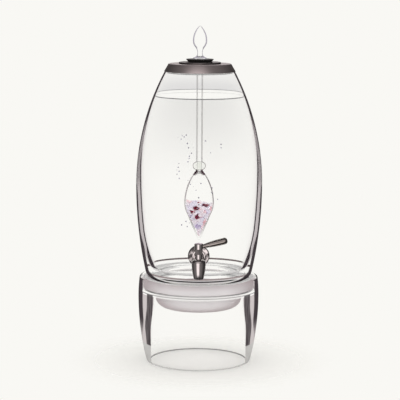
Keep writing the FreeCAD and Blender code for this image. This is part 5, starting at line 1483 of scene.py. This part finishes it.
class DISPENSER_OT_shank_fittings(bpy.types.Operator):
    """Build gaskets, rosette, washer and nut on the shank"""

    bl_idname = "dispenser.shank_fittings"
    bl_label = "Shank fittings"

    def execute(self, context):
        jar, tap = settings().jar, settings().tap
        at = along_shank(jar, tap)
        hole = tap.shank_radius + tap.ring_gap

        mesh = contoured_ring(
            "outer_washer",
            tap.outer_gasket,
            hole,
            at["outer_gasket"],
            lambda height: jar_outer_radius(jar, height),
            at["height"],
        )
        stand_in("outer_washer", mesh, "clear_silicone", "jar", "outer_gasket")

        wall = jar_inside(jar)

        def inside(height):
            for low, high in zip(wall[1:], wall):
                if low.y <= height <= high.y and high.y > low.y:
                    part = (height - low.y) / (high.y - low.y)
                    return low.x + (high.x - low.x) * part
            raise ValueError("no wall at this height")

        mesh = contoured_ring(
            "inner_washer", tap.inner_gasket, hole, at["inner_gasket"], inside, at["height"]
        )
        stand_in("inner_washer", mesh, "clear_silicone", "jar", "inner_gasket")

        thick, edge, edge_round = tap.rosette, tap.rosette_radius, 0.0018
        disc = Section(hole, 0).line(edge, 0, CUT).line(edge, thick, edge_round)
        disc.line(hole, thick, CUT)
        mesh = turned("rosette_disc", disc, sides=96)
        matrix = facing_out(at["outer_gasket"], at["height"])
        stand_in("rosette_disc", mesh, "rosette_steel", "jar", "rosette", matrix)

        ring = Section(hole, 0, BURR).line(tap.washer_radius, 0, CUT)
        ring.line(tap.washer_radius, tap.washer, CUT).line(hole, tap.washer, BURR)
        mesh = turned("steel_washer", ring, sides=96)
        matrix = facing_out(at["washer"], at["height"])
        stand_in("steel_washer", mesh, "polished_steel", "jar", "shank_washer", matrix)

        mesh = hex_nut("hex_nut", tap.nut_flats, tap.nut, tap.shank_radius + FIT)
        matrix = shift(0, -at["washer"], at["height"]) @ rotation(-90, "X")
        stand_in("hex_nut", mesh, "polished_steel", "jar", "shank_nut", matrix)
        return {"FINISHED"}


class DISPENSER_OT_tap(bpy.types.Operator):
    """Build the tap's body and its packing nut"""

    bl_idname = "dispenser.tap"
    bl_label = "Tap"

    def execute(self, context):
        jar, tap = settings().jar, settings().tap
        at = along_shank(jar, tap)
        spout = turned("spout", spout_section(tap), sides=96)
        shank = turned("shank", shank_section(tap, at["axis"] - at["end"]), sides=72)
        shank.transform(rotation(-90, "X"))
        mesh = merged("tap_casting", spout, shank)
        matrix = shift(0, -at["axis"], at["height"])
        stand_in("tap_casting", mesh, "polished_steel", "jar", "tap_body", matrix)

        tall = tap.packing_top - tap.barrel_rise
        mesh = hex_nut("gland_nut", tap.packing_flats, tall, tap.stem_radius + RUNNING)
        matrix = shift(0, -at["axis"], at["height"] + tap.barrel_rise)
        stand_in("gland_nut", mesh, "polished_steel", "jar", "packing_nut", matrix)
        return {"FINISHED"}


class DISPENSER_OT_valve(bpy.types.Operator):
    """Build the valve plug, its rings, the cap, the grub screw and the lever"""

    bl_idname = "dispenser.valve"
    bl_label = "Valve and lever"

    def execute(self, context):
        jar, tap = settings().jar, settings().tap
        at = along_shank(jar, tap)
        centre = shift(0, -at["axis"], at["height"])

        groove = tap.plug_radius - 2 * tap.cord_radius - FIT
        width = 2 * tap.cord_radius + RUNNING
        plug = Section(0, -tap.plug_drop).line(tap.plug_radius, -tap.plug_drop, CUT)
        for index in range(2):
            low = tap.groove_rise + tap.groove_pitch * index
            plug.line(tap.plug_radius, low).line(groove, low)
            plug.line(groove, low + width).line(tap.plug_radius, low + width)
        plug.line(tap.plug_radius, tap.plug_rise, BROKEN).line(tap.stem_radius, tap.plug_rise)
        plug.line(tap.stem_radius, tap.stem_rise, CUT).line(0, tap.stem_rise)
        mesh = turned("plug", plug, sides=72)
        down = rod(tap.port_radius, -tap.plug_drop - PAST, 0.0, sides=48)
        across = rod(tap.port_radius, 0.0, tap.plug_radius + PAST, sides=48)
        across.transform(rotation(-90, "Y"))
        mesh = carved(mesh, down, across)
        stand_in("turning_plug", mesh, "polished_steel", "valve", "valve_plug", centre)

        rings = []
        for index in range(2):
            cord = []
            middle = tap.groove_rise + tap.groove_pitch * index + width / 2
            for angle in angles(16):
                radius = tap.plug_radius - tap.cord_radius * (1 - math.cos(angle))
                cord.append(Vector((radius, middle + tap.cord_radius * math.sin(angle))))
            rings.append(turned("cord", cord, sides=64))
        mesh = merged("o_rings", *rings)
        stand_in("o_rings", mesh, "black_silicone", "valve", "plug_rings", centre)

        base = tap.packing_top + tap.cap_gap
        top = base + tap.cap_height
        fit = tap.stem_radius + FIT
        cap = Section(fit, base, CUT).line(tap.cap_radius, base, SOFT)
        cap.line(tap.cap_radius, top, ROUNDED).line(0, top)
        cap.line(0, tap.stem_rise + FIT).line(fit, tap.stem_rise + FIT)
        mesh = turned("cap", cap, sides=96)
        tilt = rotation(90 - tap.lever_tilt, "Y")
        line = shift(0, 0, base + tap.lever_height)
        socket_end, bore_end = 0.02, 0.012
        socket = rod(tap.lever_root + FIT, tap.lever_seat, socket_end)
        socket.transform(line @ tilt)
        side = shift(0, 0, base + tap.grub_height)
        bore = rod(tap.grub_radius + FIT, 0.0, bore_end, sides=48)
        bore.transform(side @ rotation(-90, "Y"))
        mesh = carved(mesh, socket, bore)
        stand_in("round_cap", mesh, "polished_steel", "valve", "tap_cap", centre)

        reach = tap.grub_length
        grub = Section(0, 0).line(tap.grub_radius, 0, BURR)
        grub.line(tap.grub_radius, reach, BURR).line(0, reach)
        mesh = turned("grub", grub, sides=48)
        key = rod(tap.grub_hex / math.sqrt(3), reach / 2, reach + PAST, sides=6)
        mesh = carved(mesh, key)
        out = shift(-fit, 0, 0) @ rotation(-90, "Y")
        matrix = centre @ side @ out
        stand_in("grub_screw", mesh, "polished_steel", "valve", "cap_screw", matrix)

        mesh = turned("lever", lever_section(tap), sides=96)
        matrix = centre @ line @ tilt
        stand_in("club_lever", mesh, "lever_steel", "valve", "tap_lever", matrix)
        return {"FINISHED"}


class DISPENSER_OT_lid(bpy.types.Operator):
    """Build the lid, its collar and its seal"""

    bl_idname = "dispenser.lid"
    bl_label = "Lid"

    def execute(self, context):
        jar, lid = settings().jar, settings().lid
        base = jar.base + jar.height + lid.gap
        top = base + lid.rise
        run = lid.low_radius - lid.top_radius
        wall = lid.sheet * math.hypot(lid.rise, run) / lid.rise
        under = top - lid.sheet
        drift = run * lid.sheet / lid.rise
        shell = Section(lid.low_radius - wall, base, CUT)
        shell.line(lid.low_radius, base, BROKEN).line(lid.top_radius, top, lid.edge)
        shell.line(lid.hole_radius, top, BROKEN).line(lid.hole_radius, under, CUT)
        shell.line(lid.top_radius - wall + drift, under, lid.edge - lid.sheet)
        mesh = turned("spun_lid", shell, sides=160)
        stand_in("spun_lid", mesh, "brushed_steel", "lid", "lid_shell")

        outer, sheet = lid.collar_radius, lid.collar_sheet
        ring = Section(outer - sheet, base, CUT).line(outer, base, CUT).line(outer, under)
        inner = outer - sheet - lid.collar_flange
        ring.line(inner, under).line(inner, under - sheet, CUT)
        ring.line(outer - sheet, under - sheet, ROUNDED)
        mesh = turned("welded_collar", ring)
        stand_in("welded_collar", mesh, "brushed_steel", "lid", "lid_collar")

        inner = outer + FIT
        seal = Section(inner, base, CUT).line(lid.lip_radius - lid.lip_wall, base, EASED)
        seal.line(lid.lip_radius - lid.lip_wall, base - lid.lip_depth, BROKEN)
        seal.line(lid.lip_radius, base - lid.lip_depth, MOULDED).line(lid.lip_radius, base)
        seal.line(lid.seal_radius, base, BROKEN)
        seal.line(lid.seal_radius, base + lid.seal_height, EASED)
        seal.line(inner, base + lid.seal_height, BROKEN)
        mesh = turned("mouth_seal", seal)
        stand_in("mouth_seal", mesh, "clear_silicone", "lid", "lid_seal")
        return {"FINISHED"}


class DISPENSER_OT_vial(bpy.types.Operator):
    """Build the vial with its flange, stopper and finial"""

    bl_idname = "dispenser.vial"
    bl_label = "Vial"

    def execute(self, context):
        jar, lid, vial = settings().jar, settings().lid, settings().vial
        plate = jar.base + jar.height + lid.gap + lid.rise
        top = plate + vial.flange
        seat = top + vial.stopper_rise

        collar = lid.hole_radius - vial.collar_gap
        inner = collar - vial.collar_wall
        low = plate - vial.collar_depth
        hole = vial.plug_radius + FIT
        ring = Section(hole, plate, CUT).line(inner, plate, CUT).line(inner, low, CUT)
        ring.line(collar, low, SOFT).line(collar, plate, CUT)
        ring.line(vial.flange_radius, plate, CUT)
        ring.line(vial.flange_radius, top, vial.flange_edge).line(hole, top, CUT)
        mesh = turned("steel_flange", ring)
        stand_in("steel_flange", mesh, "flange_steel", "vial", "holder_flange")

        bore = vial.tube_radius + FIT
        low = top - vial.plug_depth
        cone = Section(bore, low, CUT).line(vial.plug_radius, low, EASED)
        cone.line(vial.plug_radius, top).line(vial.stopper_low, top, CUT)
        cone.line(vial.stopper_top, seat, SOFT).line(bore, seat, CUT)
        mesh = turned("cone_stopper", cone)
        stand_in("cone_stopper", mesh, "black_silicone", "vial", "vial_stopper")

        mesh = turned("blown_vial", vial_section(vial, seat), sides=112)
        stand_in("blown_vial", mesh, "vial_glass", "vial", "vial")

        mesh = turned("drop_finial", finial_section(vial, seat), sides=112)
        stand_in("drop_finial", mesh, "finial_glass", "vial", "finial")
        return {"FINISHED"}


class DISPENSER_OT_stones(bpy.types.Operator):
    """Wear the edges of the stones in the vial"""

    bl_idname = "dispenser.stones"
    bl_label = "Stones"

    def execute(self, context):
        vial = settings().vial
        for kind in ("rose_quartz", "amethyst", "clear_quartz", "garnet"):
            mesh = tumbled(f"{kind}_chips", kind, vial.stone_edge)
            stand_in(f"{kind}_chips", mesh, kind, "vial", kind)
        return {"FINISHED"}


FLOOR_RADIUS = 6.0
FLOOR_DROP = 0.0002

# Bounces that a ray needs to get through the jar, the water, the vial and back
BOUNCES = {
    "max_bounces": 32,
    "transmission_bounces": 28,
    "glossy_bounces": 16,
    "transparent_max_bounces": 16,
}


class DISPENSER_OT_stage(bpy.types.Operator):
    """Set up floor, light and camera"""

    bl_idname = "dispenser.stage"
    bl_label = "Stage"

    def execute(self, context):
        scene, studio = context.scene, settings().studio
        self.floor(scene, studio)
        self.world(scene, studio)
        self.camera(scene, studio)
        scene.view_settings.view_transform = "Standard"
        for kind, bounces in BOUNCES.items():
            setattr(scene.cycles, kind, bounces)
        return {"FINISHED"}

    def floor(self, scene, studio):
        """A paper disc for the shadow round the stand, clear farther out."""
        work = bmesh.new()
        bmesh.ops.create_circle(work, cap_ends=True, segments=96, radius=FLOOR_RADIUS)
        mesh = written("floor", work)
        nodes = new_material("paper")
        across, along, _ = nodes.parts(nodes.read("ShaderNodeNewGeometry", "Position"))
        radius = off_axis(across, along)
        mirror, lighting = nodes.depth("Glossy") > 0.5, nodes.depth("Diffuse") > 0.5
        far = nodes.step(radius, 0.065, 0.25) * 0.88 + 0.12
        beyond = nodes.step(radius, 0.2, 0.3) * mirror * (1 - lighting)
        paper, clear = nodes.diffuse_tone(studio.paper), nodes.add("ShaderNodeBsdfTransparent")
        mesh.materials.append(nodes.surface(nodes.mixed(far.most(beyond), paper, clear)))
        floor = bpy.data.objects.new("floor", mesh)
        floor.location.z = -FLOOR_DROP
        scene.collection.objects.link(floor)

    def world(self, scene, studio):
        """The paper for the camera; bright and dark parts of a room for mirrors and glass."""
        nodes = Nodes(bpy.data.worlds.new("studio"))
        mirror = nodes.depth("Glossy") > 0.5
        lighting = nodes.depth("Diffuse") > 0.5
        through = nodes.depth("Transmission") > 0.5
        east, north, up = nodes.parts(nodes.read("ShaderNodeTexCoord", "Generated"))
        level_way = off_axis(east, north)
        ahead, aside = north / level_way, east / level_way
        paper = nodes.blend(lighting, studio.paper, (1.0, 1.0, 1.0))

        # What glass walls mirror of the studio behind them
        band = nodes.step(ahead, 0.3, 0.6) * studio.band + studio.dusk
        in_glass = nodes.blend(nodes.step(up, 0.0, 0.03), nodes.tinted(band, 0.92, 0.925), paper)

        # What steel mirrors: a lit strip low in front, a bank of light high in front of it,
        # and a glow behind
        way = math.radians(12)
        toward = aside * math.sin(-way) - ahead * math.cos(way)
        strip = nodes.step(toward, 0.9, 0.945) * 1.3 + nodes.step(toward, -0.3, 0.85) * 0.2
        strip = strip * nodes.step(up, -0.6, -0.5) * (1 - nodes.step(up, 0.05, 0.15))
        way = math.radians(8)
        away = north * math.cos(way) + east * math.sin(way)
        bank = (1 - nodes.step(away, -0.92, -0.40)) * 1.5
        bank = (bank + (1 - nodes.step(north, -0.4, 0.9)) * 0.15) * nodes.step(up, 0.2, 0.4)
        behind = nodes.step(ahead, 0.97, 0.99) * nodes.step(up, 0.09, 0.13)
        level = strip + bank + behind * 0.8 + studio.dusk
        mirrored = nodes.blend(through, nodes.tinted(level, 0.94, 0.94), in_glass)
        tone = nodes.blend(mirror * (1 - lighting), paper, mirrored)
        light = nodes.add("ShaderNodeBackground", None, Color=tone, Strength=1.0)
        scene.world = nodes.surface(light, "ShaderNodeOutputWorld")

    def camera(self, scene, studio):
        """The camera before the jar, looking down a little."""
        data = bpy.data.cameras.new("camera")
        data.lens = studio.lens
        data.sensor_width, data.sensor_fit = 36.0, "HORIZONTAL"
        data.clip_end = 20.0
        data.shift_x = studio.shift
        camera = bpy.data.objects.new("camera", data)
        look = rotation(90 - studio.camera_pitch, "X")
        roll = rotation(studio.camera_roll, "Z")
        spot = shift(0, -studio.camera_distance, studio.camera_height)
        camera.matrix_world = spot @ look @ roll
        scene.collection.objects.link(camera)
        scene.camera = camera


class DISPENSER_PT_pieces(bpy.types.Panel):
    """Lists the pieces of the dispenser"""

    bl_idname = "DISPENSER_PT_pieces"
    bl_label = "Water Dispenser"
    bl_space_type = "VIEW_3D"
    bl_region_type = "UI"
    bl_category = "Dispenser"

    def draw(self, context):
        for operator in OPERATORS:
            self.layout.operator(operator.bl_idname)


GROUPS = (StandSizes, JarSizes, TapSizes, LidSizes, VialSizes, Finishes, Studio, Dispenser)
OPERATORS = (
    DISPENSER_OT_stand,
    DISPENSER_OT_cradle,
    DISPENSER_OT_jar,
    DISPENSER_OT_water,
    DISPENSER_OT_shank_fittings,
    DISPENSER_OT_tap,
    DISPENSER_OT_valve,
    DISPENSER_OT_lid,
    DISPENSER_OT_vial,
    DISPENSER_OT_stones,
    DISPENSER_OT_stage,
)


def register():
    for each in (*GROUPS, *OPERATORS, DISPENSER_PT_pieces):
        bpy.utils.register_class(each)
    bpy.types.Scene.dispenser = PointerProperty(type=Dispenser)


def unregister():
    del bpy.types.Scene.dispenser
    for each in reversed((*GROUPS, *OPERATORS, DISPENSER_PT_pieces)):
        bpy.utils.unregister_class(each)


def main():
    register()
    for each in OPERATORS:
        group, name = each.bl_idname.split(".")
        getattr(getattr(bpy.ops, group), name)()


if __name__ == "__main__":
    main()
